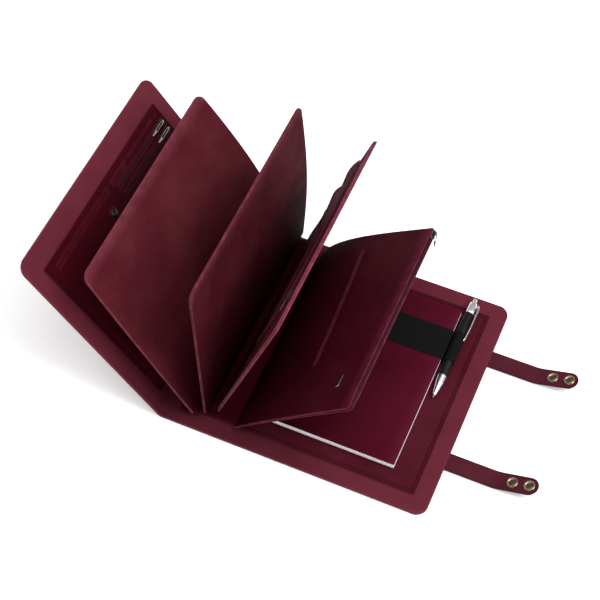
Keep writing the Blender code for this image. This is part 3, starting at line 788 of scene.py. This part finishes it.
def make_panel(name, place, node, face_side, look, slot, body):
    """A darker inner panel with two creases and a row of stitches near its edge."""
    low, high = place.extent(node)
    size = outline_of(low, high)
    raised = (low[2] - 0.0002 * (face_side > 0), high[2] + 0.0002 * (face_side < 0))
    options = {"corner": 0.002, "edge": 0.0007, "grooves": GROOVES, "side": face_side, "open_root": False}
    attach(slab(name, place, size, raised, look, slot, rim=0.0012, replaces=(node,), **options), body)
    inset = (GROOVES[0][0] + GROOVES[1][0]) / 2
    face = high[2] if face_side > 0 else low[2]
    u0, u1 = low[0] + inset, high[0] - inset
    y0, y1 = low[1] + inset, high[1] - inset
    chain = [(u0, y0), (u1, y0), (u1, y1), (u0, y1)]
    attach(stitches(name + "_stitches", place, chain, face + face_side * 0.00005, THREAD, slot), body)
    return high[0], face


def make_covers():
    """The covers and the spine as stiff slabs."""
    y = HALF_HEIGHT
    options = {"corner": CORNER, "shade": fade(0.0, 0.15, SPINE_SHADE), "shade_side": 1}
    options["replaces"] = layers("back_cover")
    size = (FOLD_REACH, COVER_HIGH[0], -y, y)
    body = slab("back_cover_body", BACK, size, (-THICKNESS, 0), COVER, "outer_leather", **options)
    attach(body, "back_cover")
    options = {"corner": CORNER, "shade": fade(0.0, 0.1, SPINE_SHADE), "shade_side": -1}
    options["replaces"] = layers("front_cover")
    size = (FOLD_REACH, FRONT.extent("front_cover_leather")[1][0], -y, y)
    body = slab("front_cover_body", FRONT, size, (0, THICKNESS), COVER, "outer_leather", **options)
    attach(body, "front_cover")
    width = (joint_at("spine_fold") - joint_at("front_cover_open")).length
    options = {"open_end": True, "shade": even(SPINE_SHADE), "shade_side": -1, "replaces": layers("spine")}
    size = (FOLD_REACH, width - FOLD_REACH, -y, y)
    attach(slab("spine_body", SPINE, size, (0, THICKNESS), COVER, "outer_leather", **options), "spine")


def make_folds():
    """The soft folds beside the spine."""
    y = HALF_HEIGHT
    soft = {"open_end": True, "step": 0.0012, "shade": even(SPINE_SHADE), "shade_side": -1}
    hinge = joint_at("spine_fold")
    route = Route([(hinge.x + FOLD_REACH, hinge.z), (hinge.x - FOLD_REACH, hinge.z)], 0.0)
    size = (0, route.length, -y, y)
    fold = slab("back_fold", route, size, (0, THICKNESS), COVER, "outer_leather", **soft)
    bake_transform(fold)
    first = joint_at("front_cover_open")
    second = joint_at("front_cover_fold")
    middle = (first + second) / 2
    beyond = second + FRONT.u * FOLD_REACH
    route = Route([(first.x + FOLD_REACH, first.z), (first.x, first.z), (beyond.x, beyond.z)], 0.007)
    half_way = FOLD_REACH + (middle - first).length
    size = (0, half_way, -y, y)
    strip = {"replaces": ["front_fold_strip"], **soft}
    lower = slab("front_fold_lower", route, size, (0, THICKNESS), COVER, "outer_leather", **strip)
    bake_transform(lower)
    size = (half_way, route.length, -y, y)
    upper = slab("front_fold_upper", route, size, (0, THICKNESS), COVER, "outer_leather", **soft)
    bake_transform(upper)


# ---- zips


def make_slider(name, place, node, side, material, slot, body):
    """A zip slider: a waisted top plate with a raised bridge that holds the pull."""
    low, high = place.extent(node)
    u, y = centre_of(low, high)
    half_u, half_y = (high[0] - low[0]) / 2, (high[1] - low[1]) / 2
    shares = ((0.62, -1.0), (0.72, 0.0), (1.0, 0.55), (0.85, 1.0), (0.2, 0.8))
    outline = mirrored([(half_u * across, half_y * along) for across, along in shares])
    matrix = place.matrix(u, y, low[2] if side > 0 else high[2])
    if side < 0:
        matrix = matrix @ Matrix.Rotation(math.pi, 4, "Y")
    thick = high[2] - low[2]
    obj = plate(name, [outline], -0.0002, thick * 0.75, 0.00025, matrix, material, slot, replaces=[node])
    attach(obj, body)
    make_bridge(name + "_bridge", half_y, matrix, thick * 0.7, slot, body)


def make_bridge(name, half_y, matrix, height, slot, body):
    """The arched loop on a slider that holds its pull."""
    bridge = [(-half_y * 0.75, 0.0), (-half_y * 0.55, 0.0016), (0.0, 0.0022)]
    bridge += [(half_y * 0.55, 0.0016), (half_y * 0.75, 0.0)]
    under = [(v * 0.8, h * 0.62) for v, h in reversed(bridge)]
    upright = Matrix.Rotation(math.pi / 2, 4, "Z") @ Matrix.Rotation(math.pi / 2, 4, "X")
    lift = Matrix.Translation((0.0, 0.0, height)) @ upright
    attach(plate(name, [bridge + under], -0.0008, 0.0008, 0.0002, matrix @ lift, SLIDER, slot), body)


def make_pull(prefix, node, along, off, material, slot):
    """A slim zip pull: an eye, an open loop and a solid tip."""
    u = Vector(along).normalized()
    w = Vector(off).normalized()
    axes = Matrix((w.cross(u), u, w)).transposed().to_4x4()
    matrix = Matrix.Translation(joint_at(f"{prefix}_pull_swing")) @ axes
    length = max((matrix.inverted() @ vertex.co).y for vertex in frame["nodes"][node].data.vertices)
    side = [(PULL_HALF * across, length * share) for across, share in PULL_SIDE]
    tip = arc(0, length - PULL_TIP, PULL_TIP, 0, 180, 6)
    left = [(-x, y) for x, y in reversed(side)]
    outline = arc(0, 0, PULL_EYE, 180, 360, 8) + side + tip + left
    inside = PULL_HALF - PULL_WIRE
    loop = rounded(-inside, inside, length * 0.12, length * 0.66, 0.0006, 4)
    eye = arc(0, 0.0002, 0.0006, 0, 330, 11)
    thick = (-0.0005, 0.0005, 0.0003)
    pull = plate(f"{prefix}_pull", [outline, loop, eye], *thick, matrix, material, slot, replaces=[node])
    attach(pull, f"{prefix}_pull")


def make_tape(prefix, place, face, side, body):
    """The woven tape in its slot, the coil's teeth and the slot's two lips."""
    node = f"{prefix}_zip_tape"
    low, high = place.extent(node)
    u = (low[0] + high[0]) / 2
    y0, y1 = low[1], high[1]
    thin = {"edge": 0.0002, "open_root": False, "replaces": [node]}
    thick = (face - side * 0.0003, face + side * 0.00015)
    size = (u - TAPE_HALF, u + TAPE_HALF, y0, y1)
    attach(slab(f"{prefix}_zip_tape", place, size, thick, TAPE, "zip_tape", **thin), body)
    count = int((y1 - y0 - 0.004) / TOOTH_PITCH)
    ys = y0 + 0.002 + TOOTH_PITCH * np.arange(count)
    centres = place.map(np.full(count, u), ys, np.full(count, face + side * 0.0004))
    name = f"{prefix}_zip_teeth"
    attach(capsules(name, centres, place.u, place.w, *TOOTH_SIZE, COIL, "zip_tape", flat=1.0), body)
    thick = (face - side * 0.0002, face + side * 0.0005)
    for label, edge in (("left", -1), ("right", 1)):
        middle = u + edge * ZIP_LIP_PLACE
        size = (middle - ZIP_LIP_HALF, middle + ZIP_LIP_HALF, y0 - 0.001, y1 + 0.001)
        name = f"{prefix}_zip_lip_{label}"
        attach(slab(name, place, size, thick, LINING, "panel_leather", edge=0.0003, open_root=False), body)


def make_zip(prefix, place, face, side, body, material, slot):
    """A whole zip on a flat face: tape and teeth, slider and pull."""
    make_tape(prefix, place, face, side, body)
    make_slider(f"{prefix}_slider", place, f"{prefix}_zip_slider", side, SLIDER, slot, f"{prefix}_slider")
    make_pull(prefix, f"{prefix}_zip_pull", -ALONG, place.w * side, material, slot)


# ---- front panel


def make_front_panel():
    reach, face = make_panel(
        "front_inner_panel", FRONT, "front_panel", -1, LINING, "panel_leather", "front_cover"
    )
    for label in ("inner", "outer"):
        make_zip(f"front_{label}", FRONT, face, -1, "front_cover", NICKEL, "nickel")
    make_card_slots(reach - 0.008, face)
    make_snap(face)


def make_card_slots(mouth, face):
    """Thin welts of card slots, whose mouths face the outer edge."""
    thick = (face - 0.0007, face + 0.0002)
    options = {"edge": 0.0004, "open_root": False, "side": -1, "rim": 0.001}
    for index, row, y0, y1 in (
        (0, 0, -0.108, 0.004),
        (0, 1, -0.108, 0.001),
        (1, 0, 0.008, 0.042),
        (1, 1, 0.008, 0.039),
        (2, 0, 0.046, 0.104),
    ):
        u1 = mouth - 0.0045 * row
        name = f"card_slot_{index}_{row}"
        welt = slab(name, FRONT, (u1 - 0.0032, u1, y0, y1), thick, LINING, "panel_leather", **options)
        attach(welt, "front_cover")


def make_snap(face):
    """The press stud on the front panel, and the leather tab under it."""
    low, high = FRONT.extent("front_panel_snap")
    u, y = centre_of(low, high)
    radius = (high[0] - low[0]) / 2
    matrix = FRONT.matrix(u, y, face) @ Matrix.Rotation(math.pi, 4, "Y")
    profile = [(0.0, 0.0008), (0.0014, 0.0008), (0.0018, 0.0014), (radius * 0.72, 0.0019)]
    profile += [(radius * 0.95, 0.0015), (radius, 0.0008), (radius, 0.0)]
    snap = turned("front_snap", profile, matrix, GUNMETAL, "gunmetal", replaces=["front_panel_snap"])
    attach(snap, "front_cover")
    size = (u - 0.03, u + 0.0075, y - 0.0065, y + 0.0065)
    options = {"corner": 0.006, "edge": 0.0003, "side": -1}
    thick = (face - 0.0004, face + 0.0002)
    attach(slab("front_snap_tab", FRONT, size, thick, LINING, "panel_leather", **options), "front_cover")


# ---- leaves


def flatten(obj, place, w):
    """Gives a piece its own copy of its mesh."""
    anchor = place.map(0.0, 0.0, w).tolist()
    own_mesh(obj)


def leaf_folds(name, place, thickness):
    """The soft strip from the spine to a leaf's foot, and the leaf's rounded binding there."""
    root = joint_at(f"{name}_lean")
    foot = place.origin
    z = root.z - 0.0004
    route = Route([(root.x - 0.01, z), (root.x - 0.0005, z), (foot.x, foot.z)], 0.0035)
    low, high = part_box(f"{name}_strip")
    half = thickness / 2
    size = (0, route.length, low.y, high.y)
    options = {"edge": half, "step": 0.0015, "replaces": [f"{name}_strip"]}
    strip = slab(f"{name}_root_fold", route, size, (-half, half), VALLEY_SHADE_LEATHER, "leaf_leather", **options)
    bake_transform(strip)
    half = thickness * 0.7
    size = (-half, 0.01, low.y, high.y)
    options = {"edge": half, "open_root": False, "open_end": True, "step": 0.003}
    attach(slab(f"{name}_binding", place, size, (-half, half), VALLEY_SHADE_LEATHER, "leaf_leather", **options), name)


def bowed(width, near, far, low, high):
    """A leaf's gentle bow, zero at its root and its outer edge."""

    def swell(u, y):
        along = np.clip((y - low) / (high - low), 0, 1)
        return (near + (far - near) * along**1.5) * np.sin(math.pi * np.clip(u / width, 0, 1))

    return swell


def make_plain_leaf(name, look, near_bow, far_bow, shade_reach):
    """A leaf of two skins sewn back to back."""
    place = leaf_place(name, f"{name}_face")
    low, high = place.extent(f"{name}_face")
    leaf_folds(name, place, 0.0018)
    size = (LEAF_START, high[0], low[1], high[1])
    options = {"corner": LEAF_CORNER, "edge": 0.0007, "shade": fade(0.0, shade_reach)}
    options["swell"] = bowed(high[0], near_bow, far_bow, low[1], high[1])
    for label, thick in (("face", (0.0001, 0.0014)), ("back", (-0.0014, -0.0001))):
        node = f"{name}_{label}"
        skin = slab(f"{node}_skin", place, size, thick, look, "leaf_leather", replaces=[node], **options)
        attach(skin, name)
        flatten(skin, place, 0.0)


def gaping(u0, u1, y1):
    """A pocket mouth that stands off its leaf towards its far end."""

    def swell(u, y):
        across = np.sin(math.pi * np.clip((u - u0) / (u1 - u0), 0, 1)) ** 0.8
        return MOUTH_GAPE * across * np.clip(1 - (y1 - y) / MOUTH_REACH, 0, 1) ** 1.5

    return swell


def make_leaf_3():
    """A stiff leaf with a zipped pocket sheet on its face."""
    place = leaf_place("leaf_3", "leaf_3_core")
    low, high = place.extent("leaf_3_core")
    leaf_folds("leaf_3", place, 0.0022)
    size = (LEAF_START, high[0], low[1], high[1])
    thick = (low[2] - 0.0003, high[2] + 0.0006)
    options = {"corner": 0.006, "edge": 0.001, "shade": fade(0.0, LEAF_SHADE), "replaces": ["leaf_3_core"]}
    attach(slab("leaf_3_core_skin", place, size, thick, LEAF, "leaf_leather", **options), "leaf_3")
    low, high = place.extent("leaf_3_panel")
    size = outline_of(low, high)
    thick = (low[2] - 0.0005, high[2])
    options = {"corner": 0.005, "edge": 0.0007, "open_root": False, "shade": fade(0.0, 0.16)}
    options["replaces"] = ["leaf_3_panel"]
    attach(slab("leaf_3_pocket", place, size, thick, LEAF, "leaf_leather", **options), "leaf_3")
    face = high[2]
    for label in ("lower", "upper"):
        make_zip(f"leaf_3_{label}", place, face, 1, "leaf_3", GUNMETAL, "gunmetal")
    y1 = high[1] - 0.002
    for index, (u0, u1) in enumerate(((0.09, 0.128), (0.134, 0.184))):
        size = (u0, u1, y1 - MOUTH_LENGTH, y1)
        options = {"edge": 0.0006, "open_root": False, "swell": gaping(u0, u1, y1), "step": 0.006}
        thick = (face + 0.0002, face + 0.0012)
        name = f"leaf_3_pocket_mouth_{index}"
        mouth = slab(name, place, size, thick, LEAF, "leaf_leather", **options)
        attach(mouth, "leaf_3")
        flatten(mouth, place, face)


class Leaf4:
    """The fourth leaf's shape: two skins that part towards the zip, on a middle that bows up."""

    def __init__(self):
        self.place = leaf_place("leaf_4", "leaf_4_gusset")
        self.low, self.high = self.place.extent("leaf_4_face")
        self.width = self.high[0]
        self.middle = (self.low[1] + self.high[1]) / 2
        self.half = (self.high[1] - self.low[1]) / 2

    def bow(self, u, y):
        """How far the leaf's middle stands off its plane, more at the far end."""
        far = np.clip((y - self.low[1]) / (2 * self.half), 0, 1)
        height = LEAF_4_BOW_NEAR + (LEAF_4_BOW_FAR - LEAF_4_BOW_NEAR) * far**1.5
        return height * np.sin(math.pi * np.clip(u / self.width, 0, 1) ** 0.6)

    def lift(self, u):
        """Half the gap between the skins' middles."""
        share = np.clip(u / self.width, 0, 1)
        edge = self.high[2] - LEAF_4_SKIN_HALF
        return LEAF_4_ROOT_LIFT + (edge - LEAF_4_ROOT_LIFT) * share

    def face(self, u, y):
        """The height of the upper skin's surface."""
        return self.lift(u) + LEAF_4_SKIN_HALF + self.bow(u, y)

    def skin(self, side):
        """The height of one skin's middle, drawn in at the two ends."""

        def swell(u, y):
            ends = np.clip((self.half - np.abs(y - self.middle)) / 0.016, 0, 1)
            ends = ends * ends * (3 - 2 * ends)
            return side * self.lift(u) * (0.62 + 0.38 * ends) + self.bow(u, y)

        return swell

    def keep(self, obj):
        """Rides the leaf, with its own copy of its mesh."""
        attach(obj, "leaf_4")
        flatten(obj, self.place, 0.0)


def make_leaf_4():
    """A pouch of two skins with a gusset and a zip along its outer edge."""
    leaf = Leaf4()
    place, low, high = leaf.place, leaf.low, leaf.high
    leaf_folds("leaf_4", place, 0.002)
    half = LEAF_4_SKIN_HALF
    size = (0.0005, leaf.width, low[1], high[1])
    for label, side, nodes in (("face", 1, ["leaf_4_face", "leaf_4_gusset"]), ("back", -1, ["leaf_4_back"])):
        options = {"corner": 0.003, "edge": half, "swell": leaf.skin(side), "replaces": nodes}
        options["shade"] = fade(0.0, 0.12)
        name = f"leaf_4_{label}_skin"
        leaf.keep(slab(name, place, size, (-half, half), DARK_LEAF, "leaf_leather", **options))
    # End gussets, tucked between the skins
    for label, y0 in (("near", low[1] + 0.0006), ("far", high[1] - 0.004)):
        size = (LEAF_START, leaf.width - 0.0015, y0, y0 + 0.0034)
        options = {"edge": 0.0006, "open_root": False, "swell": leaf.bow}
        name = f"leaf_4_gusset_{label}"
        leaf.keep(slab(name, place, size, (-0.0009, 0.0009), LINING, "leaf_leather", **options))
    make_leaf_4_zip(leaf)
    make_leaf_4_slider(place)
    make_leaf_4_details(leaf)


def make_leaf_4_zip(leaf):
    place = leaf.place
    low, high = place.extent("leaf_4_zip_tape")
    size = (low[0], high[0] - 0.0008, low[1], high[1])
    options = {"edge": 0.0008, "open_root": False, "replaces": ["leaf_4_zip_tape"]}
    leaf.keep(slab("leaf_4_tape", place, size, (-0.0016, 0.0016), TAPE, "zip_tape", **options))
    count = int((high[1] - low[1] - 0.004) / TOOTH_PITCH)
    ys = low[1] + 0.002 + TOOTH_PITCH * np.arange(count)
    centres = place.map(np.full(count, high[0] - 0.0006), ys, np.zeros(count))
    teeth = capsules("leaf_4_teeth", centres, place.w, place.u, *EDGE_TOOTH_SIZE, COIL, "zip_tape", flat=1.0)
    leaf.keep(teeth)


def make_leaf_4_slider(place):
    """The slider over the pouch's edge, and its pull, which leans out from it."""
    low, high = place.extent("leaf_4_zip_slider")
    half_w = (high[2] - low[2]) / 2
    half_y = (high[1] - low[1]) / 2
    axes = Matrix((-place.w, ALONG, place.u)).transposed().to_4x4()
    spot = place.origin + place.u * low[0] + ALONG * (low[1] + high[1]) / 2
    matrix = Matrix.Translation(spot) @ axes
    shares = ((0.7, -1.0), (0.8, 0.0), (1.0, 0.6), (0.8, 1.0))
    outline = mirrored([(half_w * across, half_y * along) for across, along in shares])
    size = (-0.0002, 0.0013, 0.0003)
    node = "leaf_4_zip_slider"
    body = plate("leaf_4_slider_plate", [outline], *size, matrix, GUNMETAL, "gunmetal", replaces=[node])
    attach(body, "leaf_4_slider")
    make_bridge("leaf_4_slider_bridge", half_y, matrix, 0.0011, "gunmetal", "leaf_4_slider")
    cos, sin = math.cos(LEAF_4_PULL_LEAN), math.sin(LEAF_4_PULL_LEAN)
    along = place.u * sin - ALONG * cos
    off = place.u * cos + ALONG * sin
    make_pull("leaf_4", "leaf_4_zip_pull", along, off, GUNMETAL, "gunmetal")


def make_leaf_4_details(leaf):
    """The welt of a slip pocket and a small blank plate on the upper face."""
    pocket_u = 0.53 * leaf.width
    options = {"edge": 0.0006, "open_root": False, "rim": 0.001, "swell": leaf.face}
    for label, edge in (("inner", -1), ("outer", 1)):
        middle = pocket_u + edge * 0.0016
        size = (middle - 0.0012, middle + 0.0012, -0.061, 0.093)
        name = f"leaf_4_welt_{label}"
        leaf.keep(slab(name, leaf.place, size, (-0.0006, 0.0003), DARK_LEAF, "leaf_leather", **options))
    u, y = 0.82 * leaf.width, -0.087
    outline = rounded(-0.0022, 0.0022, -0.008, 0.008, 0.0008)
    matrix = leaf.place.matrix(u, y, leaf.face(u, y))
    leaf.keep(plate("leaf_4_plate", [outline], -0.0004, 0.0006, 0.0002, matrix, NICKEL, "nickel"))


# ---- notebook, band and pen


def make_notebook():
    """Two thin cover boards and a spine round a block of pages."""
    low, high = BACK.extent("notebook_cover")
    size = outline_of(low, high)
    options = {"corner": 0.0016, "edge": 0.0004, "open_root": False, "rim": 0.0008}
    options["shade"] = fade(low[0], 0.125, 0.75)
    bottom, top = (low[2], low[2] + NOTEBOOK_COVER), (high[2] - NOTEBOOK_COVER, high[2])
    for label, thick, nodes in (("top", top, ["notebook_cover"]), ("bottom", bottom, [])):
        name = f"notebook_{label}"
        board = slab(name, BACK, size, thick, NOTEBOOK, "notebook_skin", replaces=nodes, **options)
        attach(board, "notebook")
    options = {"edge": 0.0005, "open_root": False}
    size = (low[0] - 0.0001, low[0] + 0.001, low[1], high[1])
    back = slab("notebook_spine", BACK, size, (low[2], high[2]), NOTEBOOK, "notebook_skin", **options)
    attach(back, "notebook")
    start = BACK.extent("notebook_pages")[0][0]
    size = (start, high[0] - 0.0002, low[1] + 0.0002, high[1] - 0.0002)
    options = {"edge": 0.0002, "open_root": False, "replaces": ["notebook_pages"]}
    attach(slab("notebook_sheets", BACK, size, (bottom[1], top[0]), PAGES, "pages", **options), "notebook")


def make_band():
    """The elastic band over the notebook, and the pen's loop that hangs on it."""
    options = {"open_end": True, "edge": 0.0004, "step": 0.003}
    low, high = BACK.extent("notebook_band")
    hinge = BACK.origin
    x0, x1 = hinge.x + low[0] + BAND_HALF, hinge.x + high[0] - BAND_HALF
    base, top = hinge.z + low[2], hinge.z + high[2] - BAND_HALF
    route = Route([(x0, base), (x0, top), (x1, top), (x1, base)], 0.0018)
    size = (0, route.length, low[1], high[1])
    thick = (-0.00045, 0.00045)
    band = slab("band", route, size, thick, ELASTIC, "elastic", replaces=["notebook_band"], **options)
    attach(band, "back_cover")
    low, high = BACK.extent("pen_loop")
    x, z = hinge.x + (low[0] + high[0]) / 2, hinge.z + (low[2] + high[2]) / 2
    ring = arc(x, z, (high[0] - low[0]) / 2 - BAND_HALF, -150, -510, 40)
    route = Route([(x1 + 0.0006, hinge.z + low[2] + 0.0004)] + ring, 0.0002)
    size = (0, route.length, low[1], high[1])
    thick = (-0.0004, 0.0004)
    loop = slab("loop", route, size, thick, ELASTIC, "elastic", replaces=["pen_loop"], **options)
    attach(loop, "back_cover")


def make_pen():
    """A ball pen with a ribbed grip, a chrome cap, cone and button, and a spring clip."""
    low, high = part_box("pen_barrel")
    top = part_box("pen_button")[1].y
    radius = (high.x - low.x) / 2
    centre = ((low.x + high.x) / 2, top, (low.z + high.z) / 2)
    axis = Matrix.Translation(centre) @ Matrix.Rotation(-math.pi / 2, 4, "X")
    end = low.y - top
    grip = [(0.003, PEN_COLLAR), (radius * 0.96, PEN_COLLAR), (radius, PEN_COLLAR - 0.0015)]
    grip += [(radius, -0.06), (radius * 0.97, -0.075), (radius, -0.09)]
    for ring in range(5):
        y = -0.0925 - ring * 0.0026
        grip += [(radius * 0.99, y), (radius * 0.93, y - 0.0006), (radius * 0.98, y - 0.0013)]
    grip += [(radius * 0.93, end + 0.001), (radius * 0.88, end), (0.003, end)]
    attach(turned("pen_grip", grip, axis, GRIP, "pen_grip", replaces=["pen_barrel"], segments=56), "pen")
    cap = [(0.0026, -0.006), (0.0036, -0.006), (0.0044, -0.0066), (0.0047, -0.0076), (0.005, -0.012)]
    cap += [(0.0053, -0.017), (0.0054, PEN_COLLAR + 0.0008), (0.0051, PEN_COLLAR), (0.0026, PEN_COLLAR)]
    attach(turned("pen_cap", cap, axis, CHROME, "pen_chrome", segments=56), "pen")
    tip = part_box("pen_tip_cone")[0].y - top
    cone = [(0.003, end), (0.0049, end - 0.0002), (0.0048, end - 0.002), (0.0044, -0.118)]
    cone += [(0.003, -0.128), (0.0021, tip + 0.0016), (0.0017, tip), (0.0013, tip), (0.0013, -0.125)]
    options = {"replaces": ["pen_tip_cone"], "segments": 56}
    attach(turned("pen_cone", cone, axis, CHROME, "pen_chrome", **options), "pen")
    button = [(0.0, 0.0), (0.0018, 0.0), (0.0023, -0.0005), (0.0024, -0.0014), (0.0024, -0.016)]
    button += [(0.0, -0.016)]
    options = {"replaces": ["pen_button"], "segments": 40}
    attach(turned("pen_push_button", button, axis, CHROME, "pen_chrome", **options), "pen_button")
    clip = [(0.0046, -0.0118), (0.0072, -0.0085), (0.0088, -0.01), (0.0092, -0.013), (0.0091, -0.04)]
    clip += [(0.008, -0.056), (0.0072, -0.0595), (0.0063, -0.059), (0.0066, -0.0575), (0.0072, -0.0555)]
    clip += [(0.0081, -0.04), (0.0082, -0.0135), (0.0074, -0.0108), (0.0052, -0.014)]
    clip_axes = axis @ Matrix.Rotation(-PEN_CLIP_LEAN, 4, "Z") @ Matrix.Rotation(math.pi / 2, 4, "X")
    size = (-0.0016, 0.0016, 0.0003)
    spring = plate("pen_spring_clip", [clip], *size, clip_axes, CHROME, "pen_chrome", replaces=["pen_clip"])
    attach(spring, "pen")
    refill = frame["nodes"]["pen_refill"]
    refill.data.materials.clear()
    refill.data.materials.append(REFILL)


# ---- straps and studs


def make_strap(label):
    """A strap that bends at its fold, with two press-stud sockets near its round tip."""
    lift = joint_at(f"{label}_strap_lift")
    bend = joint_at(f"{label}_strap_bend")
    place = place_from(f"{label}_strap_upper", bend)
    low, high = place.extent(f"{label}_strap_upper")
    y0, y1 = bend.y + low[1], bend.y + high[1]
    thick = (low[2], high[2])
    tip = bend + place.u * high[0]
    route = Route([(lift.x - 0.006, lift.z), (bend.x, bend.z), (tip.x, tip.z)], STRAP_FOLD_RADIUS)
    half_way = 0.006 + (bend - lift).length * 0.5
    shared = {"edge": 0.0009, "step": 0.003, "rim": 0.0016}
    options = {"open_end": True, "replaces": [f"{label}_strap_lower"], **shared}
    size = (0, half_way, y0, y1)
    root = slab(f"{label}_strap_root", route, size, thick, STRAP, "strap_leather", **options)
    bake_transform(root)
    options = {"corner": (y1 - y0) / 2, "replaces": [f"{label}_strap_upper"], **shared}
    size = (half_way, route.length, y0, y1)
    end = slab(f"{label}_strap_tip", route, size, thick, STRAP, "strap_leather", **options)
    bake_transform(end)
    for which in ("inner", "outer"):
        make_socket(place, f"{label}_socket_{which}", thick, f"{label}_strap_end")


def make_socket(place, node, strap, body):
    """A press-stud socket: a brass ring through the strap, and a dark disc inside it that paints the shade
    in its hole.
    """
    low, high = place.extent(node)
    outer = (high[0] - low[0]) / 2
    base, top = low[2], high[2]
    matrix = place.matrix(*centre_of(low, high), 0.0)
    profile = [
        (0.0022, base),
        (outer * 0.86, base),
        (outer * 0.9, base + 0.0004),
        (outer * 0.88, strap[0]),
        (0.0034, strap[0] + 0.0001),
        (0.0034, strap[1] - 0.0001),
        (outer, strap[1]),
        (outer, top - 0.0005),
        (outer * 0.93, top - 0.0001),
        (outer * 0.8, top),
        (outer * 0.66, top - 0.0003),
        (outer * 0.6, top - 0.0007),
        (outer * 0.57, top - 0.0003),
        (0.0033, top - 0.0004),
        (0.003, top - 0.001),
        (0.0022, base),
    ]
    options = {"replaces": [node], "segments": 48}
    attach(turned(f"{node}_ring", profile, matrix, BRASS, "antique_brass", **options), body)
    # A near-black disc in the ring's hole: painted shade.
    radius = SOCKET_WELL_RADIUS
    profile = [(0.0, top - 0.0009), (radius, top - 0.0009), (radius, top - 0.0012), (0.0, top - 0.0012)]
    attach(turned(f"{node}_well", profile, matrix, SOCKET_HOLE_SHADE, "antique_brass", segments=24), body)


def make_stud(label):
    """A press stud on the outside of the front cover."""
    node = f"{label}_stud"
    low, high = FRONT.extent(node)
    matrix = FRONT.matrix(*centre_of(low, high), low[2])
    radius = (high[0] - low[0]) / 2
    tall = high[2] - low[2]
    profile = [(0.0, tall), (0.001, tall - 0.0001), (0.0017, tall - 0.0004), (0.0019, tall - 0.0009)]
    profile += [(0.0016, tall - 0.0014), (0.0015, tall - 0.0019), (0.0022, 0.0009), (radius * 0.8, 0.0009)]
    profile += [(radius * 0.95, 0.0006), (radius, 0.0002), (radius, -0.0003), (0.0, -0.0003)]
    options = {"replaces": [node], "segments": 48}
    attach(turned(f"{node}_cap", profile, matrix, BRASS, "antique_brass", **options), "front_cover")


# ---- the whole case

make_camera()
make_stage()
make_lights()
make_covers()
make_folds()
make_panel("back_inner_panel", BACK, "back_panel", 1, BACK_PANEL, "panel_leather", "back_cover")
make_front_panel()
make_plain_leaf("leaf_1", LEAF, 0.001, -0.011, LEAF_SHADE)
make_plain_leaf("leaf_2", LEAF_2_IN_PAINTED_SHADE, 0.0, -0.006, 2 * LEAF_SHADE)
make_leaf_3()
make_leaf_4()
make_notebook()
make_band()
make_pen()
for end in ("far", "near"):
    make_strap(end)
    make_stud(end)
